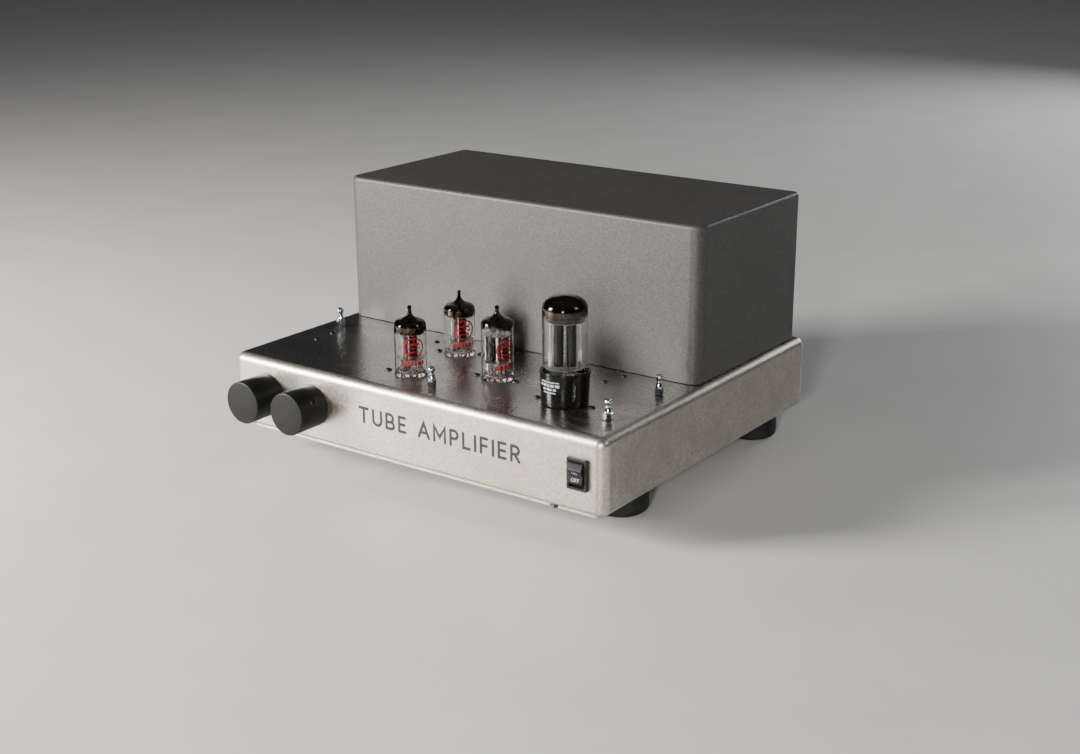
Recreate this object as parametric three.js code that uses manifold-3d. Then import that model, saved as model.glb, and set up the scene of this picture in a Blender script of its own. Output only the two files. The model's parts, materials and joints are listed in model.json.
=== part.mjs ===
// Small valve amplifier on a folded steel chassis, in millimetres.
// X runs along the width, -Y is the front and Z is up. The origin is on the shelf under the chassis centre.
import * as THREE from 'three';
import { mergeVertices } from 'three/addons/utils/BufferGeometryUtils.js';
import Module from 'manifold-3d';

const wasm = await Module();
wasm.setup();

// ---- driving dimensions -------------------------------------------------------------------------
const GAP = 0.3; // air kept between pieces that touch
const SHEET = 1.6; // steel sheet of the chassis and both covers
const CHASSIS = {
  width: 317.5, depth: 266.7, height: 50.8, corner: 7, topBend: 6, bottomBend: 2.4, flange: 14,
};
const FOOT = {
  radius: 19.1, height: 19, round: 4, recess: 5, recessDepth: 11, hole: 2.3, frontX: 127,
  backX: 128,
};
const FOOT_Y = { front: -66, back: 110 };
const PAN = { rim: 4.6, halfWidth: 150, front: -127.3, back: 123, groove: 1.2, grooveDepth: 1.2, corner: 3 };
const COVER = {
  width: 304.8, depth: 139.7, height: 107.95, corners: [9, 5], topBend: 2.5, lip: 8, back: 127,
};
const STUD = {
  acrossFlats: 5.6, hexHeight: 5, height: 14.6, neck: 1.6, ball: 2.55, thread: 1.4,
  threadLength: 7,
};
const NOVAL = {
  radius: 11, wall: 0.9, round: 4.4, pinCircle: 5.95, pin: 0.5, pinLength: 7, screws: 15.4,
  hole: 11.5,
};
const OCTAL = {
  radius: 14.8, wall: 1, round: 8, crown: 70.3, tip: 71.3, hole: 14.4, socket: 13.6, screws: 20,
};
const OCTAL_PINS = { circle: 8.75, radius: 1.18, length: 11 };
const OCTAL_BASE = { low: 15.5, high: 16.5, height: 22.3, wall: 1.35, floor: 2.4, key: 3.95, keyLength: 13 };
const KNOB = { radius: 15, length: 25.4, gap: 0.5, edge: 0.5, bore: 3.3, recess: 8.5, recessDepth: 4.5 };
const KNOB_SCREW = { radius: 2, fromBack: 13.8 };
const CONTROL = { shaft: 3, bush: 4.6, bushOut: 3.5, bushBore: 3.3, height: 25.4 };
const SWITCH = {
  x: 139.7, width: 15, height: 21, bezel: 2.5, bodyWidth: 13.4, bodyHeight: 18.8, bodyDepth: 22,
};
const ROCKER = {
  width: 10.8, side: 8.25, crest: 4.6, crestOut: 5.1, valleyOut: 3.6, rest: 10, pivotBack: 2.6,
};
const INLET = {
  x: 92, flangeWidth: 58, flangeHeight: 31, flange: 2.7, bodyWidth: 47, bodyHeight: 27,
  bodyDepth: 24,
};
const SOCKET = { x: 82, width: 24.4, height: 16.6, depth: 17, chamfer: 4.5, pinTip: 5.5 };
const DRAWER = { x: 106, width: 11, height: 22, depth: 19, lip: 1.4 };
const POST = {
  collar: 7.2, collarDepth: 4, stud: 3.1, banana: 2.1, bananaDepth: 14, reach: 25.4, cap: 6.2,
  capBore: 3.4,
};
const JACK = { flange: 6.4, barrel: 4.15, reach: 14, bore: 1.6, boreDepth: 10 };

// ---- heights and faces worked out from them -----------------------------------------------------
const BOTTOM = FOOT.height + PAN.rim; // underside of the chassis
const TOP = BOTTOM + CHASSIS.height; // top face of the chassis
const FRONT = -CHASSIS.depth / 2;
const BACK = CHASSIS.depth / 2;
const CONTROL_Z = TOP - CONTROL.height; // every front control and rear connector sits on this line
const VOLUME_X = -126;
const SELECTOR_X = -84;
// Small tubes: place, heights above the chassis of crown, tip and plates, and the turn of the plates.
const SMALL_TUBES = [
  { at: [-22.5, -98.5], crown: 38.4, tip: 48.1, plates: [12.5, 28.2], turn: -43 },
  { at: [-24.1, -43], crown: 36.6, tip: 46.1, plates: [11.3, 27], turn: -43 },
  { at: [31.7, -72.4], crown: 41.9, tip: 50.8, plates: [12.5, 30], turn: 33 },
];
const OCTAL_AT = [97.7, -87.6];
const STUD_AT = [[-139.5, -41.5], [7.6, -113], [139.5, -100.6], [139.5, -40.5]];
const POST_X = [-58, -39, 3, 22];
const JACK_X = [-124, -98];

// ---- finishes -----------------------------------------------------------------------------------
function finish(color, roughness, metalness, opacity = 1) {
  return new THREE.MeshStandardMaterial({ color, roughness, metalness, opacity, transparent: opacity < 1 });
}
const brushedSteel = finish(0xb9b4aa, 0.35, 1);
const blackPowderCoat = finish(0x1b1b1e, 0.7, 0.1);
const chrome = finish(0xd8d8da, 0.12, 1);
const blackRubber = finish(0x161617, 0.8, 0);
const blackPlastic = finish(0x1a1a1c, 0.4, 0);
const redPlastic = finish(0xa01818, 0.4, 0);
const blackAnodised = finish(0x2c2c2e, 0.35, 0.8);
const clearGlass = finish(0xdfe6e6, 0.05, 0, 0.3);
const plateMetal = finish(0x55565a, 0.5, 0.8);
const bakelite = finish(0x17120f, 0.25, 0);
const laminate = finish(0x6c6f74, 0.45, 0.8);
const copperCoil = finish(0x9a6a2c, 0.5, 0.3);
const boardGreen = finish(0x2f5b3a, 0.5, 0);
const capacitorBlue = finish(0x24354f, 0.4, 0);
const greyCable = finish(0x3a3a3d, 0.6, 0);
const goldPlate = finish(0xc9a24a, 0.25, 1);

// ---- solids -------------------------------------------------------------------------------------
const degrees = Math.PI / 180;

function weld(geometry) {
  const plain = geometry.clone();
  plain.deleteAttribute('normal');
  plain.deleteAttribute('uv');
  return mergeVertices(plain, 1e-4);
}

function toSolid(geometry) {
  const mesh = weld(geometry);
  const vertProperties = new Float32Array(mesh.attributes.position.array);
  const triVerts = new Uint32Array(mesh.index.array);
  return new wasm.Manifold(new wasm.Mesh({ numProp: 3, vertProperties, triVerts }));
}

function toGeometry(solid) {
  const mesh = solid.getMesh();
  const geometry = new THREE.BufferGeometry();
  geometry.setAttribute('position', new THREE.BufferAttribute(mesh.vertProperties, 3));
  geometry.setIndex(new THREE.BufferAttribute(mesh.triVerts, 1));
  geometry.computeVertexNormals();
  return geometry;
}

function cut(body, tools) {
  return toGeometry(tools.reduce((solid, tool) => solid.subtract(toSolid(tool)), toSolid(body)));
}

function join(bodies) {
  return toGeometry(bodies.slice(1).reduce((solid, body) => solid.add(toSolid(body)), toSolid(bodies[0])));
}

// Turns every face outward when the body came out inside out.
function faceOut(geometry) {
  const points = geometry.attributes.position;
  const index = geometry.index.array;
  const [a, b, c] = [new THREE.Vector3(), new THREE.Vector3(), new THREE.Vector3()];
  let volume = 0;
  for (let i = 0; i < index.length; i += 3) {
    a.fromBufferAttribute(points, index[i]);
    b.fromBufferAttribute(points, index[i + 1]);
    c.fromBufferAttribute(points, index[i + 2]);
    volume += a.dot(b.cross(c));
  }
  if (volume < 0) {
    for (let i = 0; i < index.length; i += 3) [index[i], index[i + 1]] = [index[i + 1], index[i]];
  }
  return geometry;
}

function block(low, high) {
  const size = high.map((value, axis) => value - low[axis]);
  const middle = high.map((value, axis) => (value + low[axis]) / 2);
  return new THREE.BoxGeometry(...size).translate(...middle);
}

// Lays a shape made along +Z down so that its length runs along the named axis.
function along(geometry, axis) {
  if (axis === 'x') return geometry.rotateY(Math.PI / 2);
  if (axis === 'y') return geometry.rotateX(-Math.PI / 2);
  return geometry;
}

// Body of revolution about +Z, or about the named axis: its profile is a list of [radius, distance along].
function turned(profile, sides = 16, axis = 'z') {
  const points = profile.map(([radius, height]) => new THREE.Vector2(radius, height));
  const lathe = weld(new THREE.LatheGeometry(points, sides)).rotateX(Math.PI / 2);
  return along(faceOut(lathe), axis);
}

function rod(radius, low, high, sides = 16, axis = 'z') {
  return turned([[0, low], [radius, low], [radius, high], [0, high]], sides, axis);
}

// Points of a quarter circle of `radius` about [cx, cy], from one angle to another.
function arc(cx, cy, radius, from, to, steps) {
  return Array.from({ length: steps + 1 }, (_, step) => {
    const turn = (from + ((to - from) * step) / steps) * degrees;
    return [cx + radius * Math.cos(turn), cy + radius * Math.sin(turn)];
  });
}

// Rectangle with round corners. A pair of radii gives the front and the back corners.
function roundedOutline(width, depth, corners, steps = 3) {
  const [front, back = front] = [corners].flat();
  const [x, y] = [width / 2, depth / 2];
  return [
    ...arc(x - back, y - back, back, 0, 90, steps),
    ...arc(back - x, y - back, back, 90, 180, steps),
    ...arc(front - x, front - y, front, 180, 270, steps),
    ...arc(x - front, front - y, front, 270, 360, steps),
  ];
}

// Closed body through a stack of equal-count outlines, each { z, points }.
function stacked(layers) {
  const count = layers[0].points.length;
  const positions = layers.flatMap(({ z, points }) => points.flatMap(([x, y]) => [x, y, z]));
  const index = [];
  for (let layer = 0; layer < layers.length - 1; layer += 1) {
    for (let i = 0; i < count; i += 1) {
      const next = (i + 1) % count;
      const [a, b] = [layer * count + i, layer * count + next];
      index.push(a, b, b + count, a, b + count, a + count);
    }
  }
  const last = (layers.length - 1) * count;
  for (let i = 1; i < count - 1; i += 1) index.push(0, i + 1, i, last, last + i, last + i + 1);
  const geometry = new THREE.BufferGeometry();
  geometry.setAttribute('position', new THREE.Float32BufferAttribute(positions, 3));
  geometry.setIndex(index);
  return geometry;
}

// Box with rounded upright corners and bent top and bottom edges, as folded sheet has.
function foldedBox({ width, depth, low, high, corners, topBend, bottomBend }) {
  const steps = 2;
  const layer = (z, inset) => {
    const radii = [corners].flat().map((radius) => Math.max(radius - inset, 0.3));
    return { z, points: roundedOutline(width - 2 * inset, depth - 2 * inset, radii) };
  };
  const layers = [];
  for (let step = 0; step <= steps; step += 1) {
    const turn = (step / steps) * 90 * degrees;
    layers.push(layer(low + bottomBend * (1 - Math.sin(turn)), bottomBend * (1 - Math.cos(turn))));
  }
  layers.reverse();
  for (let step = 0; step <= steps; step += 1) {
    const turn = (step / steps) * 90 * degrees;
    layers.push(layer(high - topBend * (1 - Math.sin(turn)), topBend * (1 - Math.cos(turn))));
  }
  return stacked(layers);
}

// Flat plate from an outline. On axis 'z' it spans z = low to high, on 'y' it spans y = -low to -high
// with the outline upright, and on 'x' it spans x = low to high with the outline given as [y, z].
function plate(outline, low, high, axis = 'z') {
  const shape = new THREE.Shape(outline.map(([x, y]) => new THREE.Vector2(x, y)));
  const settings = { depth: high - low, bevelEnabled: false };
  const flat = new THREE.ExtrudeGeometry(shape, settings).translate(0, 0, low);
  if (axis === 'x') return flat.rotateX(Math.PI / 2).rotateZ(Math.PI / 2);
  if (axis === 'y') return flat.rotateX(Math.PI / 2);
  return flat;
}

// Round wire or cable along a smooth curve through the given points.
function cable(points, radius, steps) {
  const path = new THREE.CatmullRomCurve3(points.map((point) => new THREE.Vector3(...point)));
  const section = new THREE.Shape(ring(8, radius).map(([x, y]) => new THREE.Vector2(x, y)));
  return new THREE.ExtrudeGeometry(section, { steps, extrudePath: path, bevelEnabled: false });
}

function ring(count, radius, phase = 0) {
  return Array.from({ length: count }, (_, i) => {
    const turn = phase + (i * 2 * Math.PI) / count;
    return [radius * Math.cos(turn), radius * Math.sin(turn)];
  });
}

// ---- assembly -----------------------------------------------------------------------------------
const amplifier = new THREE.Group();

function add(name, geometry, material, position = [0, 0, 0]) {
  const mesh = new THREE.Mesh(geometry, material);
  mesh.name = name;
  mesh.position.set(...position);
  amplifier.add(mesh);
  return mesh;
}

function upright(radius, [x, y], low, high, sides = 12) {
  return rod(radius, low, high, sides).translate(x, y, 0);
}

function panelHole(radius, x, face, sides = 12) {
  return rod(radius, face - 4, face + 4, sides, 'y').translate(x, 0, CONTROL_Z);
}

// ---- chassis, bottom cover, transformer cover ---------------------------------------------------
function chassis() {
  const { width, depth, corner, topBend, bottomBend, flange } = CHASSIS;
  const inside = foldedBox({
    width: width - 2 * SHEET,
    depth: depth - 2 * SHEET,
    low: BOTTOM + SHEET,
    high: TOP - SHEET,
    corners: corner - SHEET,
    topBend: topBend - SHEET,
    bottomBend: bottomBend - SHEET,
  });
  const mouthOutline = roundedOutline(width - 2 * flange, depth - 2 * flange, 4, 2);
  const mouth = plate(mouthOutline, BOTTOM - 1, BOTTOM + SHEET + 1);
  const through = [TOP - SHEET - 1, TOP + 1];
  const tubeHoles = SMALL_TUBES.map(({ at }) => upright(NOVAL.hole, at, ...through, 16));
  const screwHoles = [...SMALL_TUBES.map(({ at }) => [at, NOVAL.screws]), [OCTAL_AT, OCTAL.screws]].flatMap(
    ([[x, y], reach]) => [-reach, reach].map((side) => upright(1.7, [x + side, y], ...through, 6)),
  );
  const studHoles = STUD_AT.map((at) => upright(STUD.thread + GAP, at, ...through, 6));
  const leadHoles = [-100, -10, 92].map((x) => upright(6, [x, COVER.back - 12], ...through, 8));
  const controls = [VOLUME_X, SELECTOR_X].map((x) => panelHole(CONTROL.bush + GAP, x, FRONT));
  const switchHole = block(
    [SWITCH.x - SWITCH.bodyWidth / 2 - GAP, FRONT - 4, CONTROL_Z - SWITCH.bodyHeight / 2 - GAP],
    [SWITCH.x + SWITCH.bodyWidth / 2 + GAP, FRONT + 4, CONTROL_Z + SWITCH.bodyHeight / 2 + GAP],
  );
  const inletHole = block(
    [INLET.x - INLET.bodyWidth / 2 - GAP, BACK - 4, CONTROL_Z - INLET.bodyHeight / 2 - GAP],
    [INLET.x + INLET.bodyWidth / 2 + GAP, BACK + 4, CONTROL_Z + INLET.bodyHeight / 2 + GAP],
  );
  return cut(foldedBox({ width, depth, low: BOTTOM, high: TOP, corners: corner, topBend, bottomBend }), [
    inside,
    mouth,
    ...tubeHoles,
    upright(OCTAL.hole, OCTAL_AT, ...through, 20),
    ...screwHoles,
    ...studHoles,
    ...leadHoles,
    ...controls,
    switchHole,
    inletHole,
    ...JACK_X.map((x) => panelHole(JACK.barrel + GAP, x, BACK)),
    ...POST_X.map((x) => panelHole(POST.stud + GAP, x, BACK)),
  ]);
}

function bottomCover() {
  const { halfWidth, front, back, rim, groove, grooveDepth, corner } = PAN;
  const low = BOTTOM - rim;
  const high = BOTTOM - GAP;
  const depth = back - front;
  const middle = (back + front) / 2;
  const outer = plate(roundedOutline(2 * halfWidth, depth, corner, 3), low, high).translate(0, middle, 0);
  const inner = plate(
    roundedOutline(2 * (halfWidth - 2 * SHEET), depth - 4 * SHEET, corner, 3),
    low + SHEET,
    high + 1,
  ).translate(0, middle, 0);
  const slitBand = (inset, reach) => plate(
    roundedOutline(2 * (halfWidth - inset), depth - 2 * inset, corner, 3),
    high - SHEET - groove - reach,
    high - SHEET + reach,
  ).translate(0, middle, 0);
  const slit = cut(slitBand(-2, 0), [slitBand(grooveDepth, 1)]);
  const notch = 3;
  const notches = [-117, 117].map((x) => (
    block([x - notch, front - 1, low - 1], [x + notch, front + 4, high + 1])
  ));
  [-103, 105].forEach((y) => {
    [-halfWidth, halfWidth].forEach((x) => {
      notches.push(block([x - 4, y - notch, low - 1], [x + 4, y + notch, high + 1]));
    });
  });
  return cut(outer, [inner, slit, ...notches]);
}

function transformerCover() {
  const { width, depth, height, corners, topBend, lip, back } = COVER;
  const low = TOP + GAP;
  const high = TOP + height;
  const shell = { width, depth, low, high, corners, topBend, bottomBend: 0.2 };
  const inside = foldedBox({
    width: width - 2 * SHEET,
    depth: depth - 2 * SHEET,
    low: low + SHEET,
    high: high - SHEET,
    corners: corners.map((radius) => radius - SHEET),
    topBend: topBend - SHEET,
    bottomBend: 0.2,
  });
  const mouth = plate(roundedOutline(width - 2 * lip, depth - 2 * lip, 3, 2), low - 1, low + SHEET + 1);
  return cut(foldedBox(shell), [inside, mouth]).translate(0, back - depth / 2, 0);
}

// Round rubber foot with a rounded lower edge and a stepped hole for its screw.
function foot() {
  const { radius, height, round, recess, recessDepth, hole } = FOOT;
  const lowerEdge = arc(radius - round, round, round, -90, 0, 2);
  const top = height - GAP;
  return turned([
    [recess, 0], ...lowerEdge, [radius, top],
    [hole, top], [hole, recessDepth], [recess, recessDepth], [recess, 0],
  ], 16);
}

// Ball stud that a wire cage clips on to.
function cageStud() {
  const { acrossFlats, hexHeight, height, neck, ball, thread, threadLength } = STUD;
  const hex = rod(acrossFlats / Math.sqrt(3), GAP, hexHeight, 6);
  const ballCentre = height - ball;
  const pin = turned([
    [0, -threadLength],
    [thread, -threadLength],
    [thread, hexHeight - 0.5],
    [acrossFlats / 2 - 0.1, hexHeight],
    [neck, hexHeight + 3.4],
    ...arc(0, ballCentre, ball, -50, 90, 5),
  ], 10);
  return join([hex, pin]);
}

// ---- valves and their sockets, each standing on z = 0 at the chassis top --------------------------
const UNDER_DECK = -SHEET - GAP; // where a socket's flange meets the underside of the sheet

function saddle(reach, bodyRadius) {
  const ear = 4.2;
  const body = arc(0, 0, bodyRadius + 3, 25, 155, 5);
  const outline = [
    ...body,
    ...arc(-reach, 0, ear, 90, 270, 4),
    ...body.map(([x, y]) => [-x, -y]),
    ...arc(reach, 0, ear, -90, 90, 4),
  ];
  const holes = [-reach, reach].map((x) => upright(1.6, [x, 0], UNDER_DECK - 3, 0, 6));
  return cut(plate(outline, UNDER_DECK - 1.2, UNDER_DECK), holes);
}

function novalSocket() {
  const body = rod(10.3, -17, UNDER_DECK, 16);
  const pinHoles = ring(10, NOVAL.pinCircle).slice(0, 9).map((at) => upright(1.1, at, -10, 2, 4));
  return cut(join([body, saddle(NOVAL.screws, 10.3)]), [...pinHoles, upright(1.6, [0, 0], -18, 2, 6)]);
}

function octalSocket() {
  const body = rod(OCTAL.socket, -17, 0, 20);
  const pinHoles = ring(8, OCTAL_PINS.circle, 22.5 * degrees).map((at) => upright(1.8, at, -14, 3, 5));
  const keyHole = upright(OCTAL_BASE.key + 2 * GAP, [0, 0], -18, 3, 12);
  return cut(join([body, saddle(OCTAL.screws, OCTAL.socket)]), [...pinHoles, keyHole]);
}

// Glass bulb open at the bottom: straight wall, round shoulder, and a crown that ends on the axis.
function bulb({ radius, wall, round, low, crown, top, sides }) {
  const centre = [radius - round, crown - round];
  const outside = [[radius, low], ...arc(...centre, round, 0, 75, 3), ...top];
  const inside = [[0, crown - wall], ...arc(...centre, round - wall, 75, 0, 3), [radius - wall, low]];
  return turned([...outside, ...inside, [radius, low]], sides);
}

const NOVAL_SEAT = -1.5; // underside of the glass button above the chassis
const NOVAL_BUTTON = 2.4;

function novalGlass({ crown, tip }) {
  return bulb({
    ...NOVAL,
    low: NOVAL_SEAT + NOVAL_BUTTON + GAP,
    crown,
    top: [[3.2, crown + 1.7], [1.8, crown + 4.6], [1.5, tip - 1], [0, tip]],
    sides: 16,
  });
}

function novalStem() {
  const button = rod(NOVAL.radius - 0.6, NOVAL_SEAT, NOVAL_SEAT + NOVAL_BUTTON);
  const pins = ring(10, NOVAL.pinCircle)
    .slice(0, 9)
    .map((at) => upright(NOVAL.pin, at, NOVAL_SEAT - NOVAL.pinLength, NOVAL_SEAT + 5.3, 4));
  return join([button, ...pins]);
}

// Two box plates between mica discs, with the getter ring on a stalk above them.
function novalElectrodes({ crown, plates: [low, high], turn }) {
  const spread = 4.3;
  const ringHeight = crown - 4;
  const micaRadius = NOVAL.radius - NOVAL.wall - 0.7;
  const micas = [low - 1.1, high + 0.4].map((z) => rod(micaRadius, z, z + 0.7, 8));
  const plates = [-spread, spread].map((x) => block([x - 3, -3.8, low - 0.5], [x + 3, 3.8, high + 0.5]));
  const posts = [-spread, spread].map((x) => upright(0.5, [x, 0], low - 3, high + 3, 4));
  const stalk = block([-0.5, -0.4, high + 0.5], [0.5, 0.4, ringHeight]);
  const getter = new THREE.TorusGeometry(3.4, 0.55, 4, 10).translate(0, 0, ringHeight);
  const bridge = block([-3.5, -0.4, ringHeight - 0.3], [3.5, 0.4, ringHeight + 0.3]);
  return join([...micas, ...plates, ...posts, stalk, bridge, getter]).rotateZ(turn * degrees);
}

const OCTAL_SEAT = GAP; // underside of the moulded base above the chassis

function octalBase() {
  const { low, high, height, wall, floor, key, keyLength } = OCTAL_BASE;
  const foot = OCTAL_SEAT;
  const rim = foot + height;
  const cup = turned([
    [0, foot], [low, foot], [high - 0.2, rim - 3.6], [high, rim - 2], [high, rim], [high - wall, rim],
    [high - wall, rim - 8], [low - wall, rim - 10], [low - wall, foot + floor], [0, foot + floor],
  ], 20);
  const pins = ring(8, OCTAL_PINS.circle, 22.5 * degrees)
    .map((at) => upright(OCTAL_PINS.radius, at, foot - OCTAL_PINS.length, foot + 1, 6));
  return join([cup, rod(key, foot - keyLength, foot + 1, 12), ...pins]);
}

function octalGlass() {
  return bulb({ ...OCTAL, low: OCTAL_SEAT + OCTAL_BASE.height - 6, top: [[0, OCTAL.tip]], sides: 20 });
}

function octalElectrodes() {
  const [low, high] = [25.2, 54.6];
  const spread = 4.1;
  const micas = [low - 0.9, high].map((z) => rod(OCTAL.radius - OCTAL.wall - 0.8, z, z + 0.9, 12));
  const plates = [-spread, spread].map((x) => {
    const outline = [...arc(x, 1.7, 3.1, 0, 180, 4), ...arc(x, -1.7, 3.1, 180, 360, 4)];
    return plate(outline, low - 0.5, high + 0.5);
  });
  const getterHeight = 60;
  const posts = [-spread, 0, spread].map((x) => upright(0.8, [x, 0], 17, x ? high + 3 : getterHeight, 4));
  const getter = new THREE.TorusGeometry(3.6, 0.6, 4, 10).translate(0, 0, getterHeight);
  const bridge = block([-3.6, -0.5, getterHeight - 0.4], [3.6, 0.5, getterHeight + 0.2]);
  const stem = turned([[0, 9], [5.4, 9], [5, 18], [0, 18]], 12);
  return join([...micas, ...plates, ...posts, stem, bridge, getter]).rotateZ(36 * degrees);
}

// ---- front controls -----------------------------------------------------------------------------
// Knobs, shafts and controls are turned about +Y, with y = 0 on the front panel.
function knob(screwAngle) {
  const { radius, length, gap, edge, bore, recess, recessDepth } = KNOB;
  const back = -gap;
  const body = turned([
    [0, -length], [radius - edge, -length], [radius, -length + edge], [radius, back], [recess, back],
    [recess, back - recessDepth], [bore, back - recessDepth], [bore, -length + 6], [0, -length + 6],
  ], 24, 'y');
  const radial = rod(KNOB_SCREW.radius, bore - 1, radius + 2, 8, 'x').rotateY(-screwAngle * degrees);
  return cut(body, [radial.translate(0, KNOB_SCREW.fromBack - length, 0)]);
}

function shaft(reach) {
  return rod(CONTROL.shaft, -KNOB.length + 6 + GAP, reach, 12, 'y');
}

function control({ radius, depth }) {
  const face = SHEET + GAP;
  const { bush, bushOut, bushBore } = CONTROL;
  const floor = face + depth - 2;
  return turned([
    [0, face + depth], [radius, face + depth], [radius, face], [bush, face],
    [bush, -bushOut], [bushBore, -bushOut], [bushBore, floor], [0, floor],
  ], 16, 'y');
}

// The rocker turns about X at the origin of its own frame, and rests with its lower half pressed in.
function rocker() {
  const { width, side, crest, crestOut, valleyOut, rest } = ROCKER;
  const half = [[2.6, 5.4], [0, side], [-1.6, side], [-crestOut, crest]];
  const outline = [...half, [-valleyOut, 0], ...half.map(([y, z]) => [y, -z]).reverse()];
  const body = plate(outline, -width / 2, width / 2, 'x');
  const pin = rod(1, -width / 2 - 0.9, width / 2 + 0.9, 12, 'x');
  return join([faceOut(weld(body)), pin]).rotateX(rest * degrees);
}

function switchHousing() {
  const { width, height, bezel, bodyWidth, bodyHeight, bodyDepth } = SWITCH;
  const window = [ROCKER.width / 2 + GAP, 8.75];
  const frontFace = -bezel;
  const flange = plate(roundedOutline(width, height, 0.8, 2), GAP, bezel, 'y');
  const body = block(
    [-bodyWidth / 2, frontFace + 1, -bodyHeight / 2],
    [bodyWidth / 2, bodyDepth, bodyHeight / 2],
  );
  const blades = [-5, 5].map((z) => block([-2.4, bodyDepth - 1, z - 0.4], [2.4, bodyDepth + 8, z + 0.4]));
  const opening = block([-window[0], frontFace - 1, -window[1]], [window[0], frontFace + 8, window[1]]);
  const pivotAt = [0, frontFace + ROCKER.pivotBack, 0];
  const pivot = rod(1.25, -window[0] - 1.1, window[0] + 1.1, 12, 'x').translate(...pivotAt);
  return cut(join([flange, body, ...blades]), [opening, pivot]);
}

// ---- rear connectors ----------------------------------------------------------------------------
function mainsInlet() {
  const { flangeWidth, flangeHeight, flange, bodyWidth, bodyHeight, bodyDepth, x } = INLET;
  const outer = BACK + flange;
  const faceOutline = roundedOutline(flangeWidth, flangeHeight, 3, 3);
  const face = plate(faceOutline, 0, flange - GAP, 'y').translate(x, outer, 0);
  const body = block(
    [x - bodyWidth / 2, BACK - bodyDepth, -bodyHeight / 2],
    [x + bodyWidth / 2, outer - 0.5, bodyHeight / 2],
  );
  const w = SOCKET.width / 2;
  const h = SOCKET.height / 2;
  const c = SOCKET.chamfer;
  const keyed = [[-w, -h], [w, -h], [w, h - c], [w - c, h], [c - w, h], [-w, h - c]];
  const recess = plate(keyed, -1, SOCKET.depth, 'y');
  const slot = block(
    [DRAWER.x - DRAWER.width / 2, outer - DRAWER.depth, -DRAWER.height / 2],
    [DRAWER.x + DRAWER.width / 2, outer + 1, DRAWER.height / 2],
  );
  const shell = cut(join([face, body]), [recess.translate(SOCKET.x, outer, 0), slot]);
  const pins = [[-7, -2], [7, -2], [0, 2]].map(([px, pz]) => block(
    [SOCKET.x + px - 1, outer - SOCKET.depth - 1, pz - 2],
    [SOCKET.x + px + 1, outer - SOCKET.pinTip, pz + 2],
  ));
  return join([shell, ...pins]).translate(0, 0, CONTROL_Z);
}

function fuseDrawer() {
  const outer = BACK + INLET.flange;
  const [w, h] = [DRAWER.width / 2 - GAP, DRAWER.height / 2 - GAP];
  const body = block([-w, outer - DRAWER.depth + GAP, -h], [w, outer + DRAWER.lip, h]);
  const tray = block([-w + 1.5, outer - DRAWER.depth + 2, -h - 1], [w + 1, outer - 3, h - 3]);
  return cut(body, [tray]);
}

function inputJack() {
  const { flange, barrel, reach, bore, boreDepth } = JACK;
  return turned([
    [0, -14], [1.2, -14], [1.2, -9], [barrel, -9], [barrel, GAP], [flange, GAP], [flange, 2.4], [barrel, 2.4],
    [barrel, reach], [bore, reach], [bore, reach - boreDepth], [0, reach - boreDepth],
  ], 12, 'y');
}

function bindingPost() {
  const { collar, collarDepth, stud, banana, bananaDepth, reach } = POST;
  return turned([
    [0, -14], [stud, -14], [stud, GAP], [collar, GAP], [collar, collarDepth], [stud, collarDepth],
    [stud, reach], [banana, reach], [banana, reach - bananaDepth], [0, reach - bananaDepth],
  ], 12, 'y');
}

function bindingCap() {
  const { collarDepth, reach, cap, capBore } = POST;
  const [low, high] = [collarDepth + GAP, reach - 1];
  return turned([
    [capBore, low], [cap, low], [cap, high - 1.5], [cap - 1, high], [capBore, high], [capBore, low],
  ], 12, 'y');
}

// ---- transformers and the circuit ---------------------------------------------------------------
// Laminated core with two windows round its middle leg, standing on the chassis.
function transformerCore({ width, height, stack }) {
  const yoke = width / 6;
  const windows = [-2 * yoke, yoke].map((x) => block([x, -stack, yoke], [x + yoke, stack, height - yoke]));
  return cut(block([-width / 2, -stack / 2, 0], [width / 2, stack / 2, height]), windows);
}

function transformerCoil({ width, height, stack, bulge }) {
  const yoke = width / 6;
  const clear = 0.6;
  const outline = roundedOutline(4 * yoke - 2 * clear, stack + 2 * bulge, 3, 3);
  const winding = plate(outline, yoke + clear, height - yoke - clear);
  const leg = [yoke + clear, stack / 2 + clear];
  return cut(winding, [block([-leg[0], -leg[1], 0], [leg[0], leg[1], height])]);
}

function circuitBoard() {
  const board = block([-62, -10, 56], [62, 95, 57.6]);
  const standoffTop = TOP - SHEET - GAP;
  const standoffs = [-55, 55].flatMap((x) => [-3, 88].map((y) => upright(3, [x, y], 57, standoffTop, 8)));
  return join([board, ...standoffs]);
}

// ---- putting it together ------------------------------------------------------------------------
add('chassis', chassis(), brushedSteel);
add('bottom_cover', bottomCover(), brushedSteel);
add('transformer_cover', transformerCover(), blackPowderCoat);

add('foot_front_left', foot(), blackRubber, [-FOOT.frontX, FOOT_Y.front, 0]);
add('foot_front_right', foot(), blackRubber, [FOOT.frontX, FOOT_Y.front, 0]);
add('foot_back_left', foot(), blackRubber, [-FOOT.backX, FOOT_Y.back, 0]);
add('foot_back_right', foot(), blackRubber, [FOOT.backX, FOOT_Y.back, 0]);

STUD_AT.forEach(([x, y], i) => add(`cage_stud_${i + 1}`, cageStud(), chrome, [x, y, TOP]));

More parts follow.
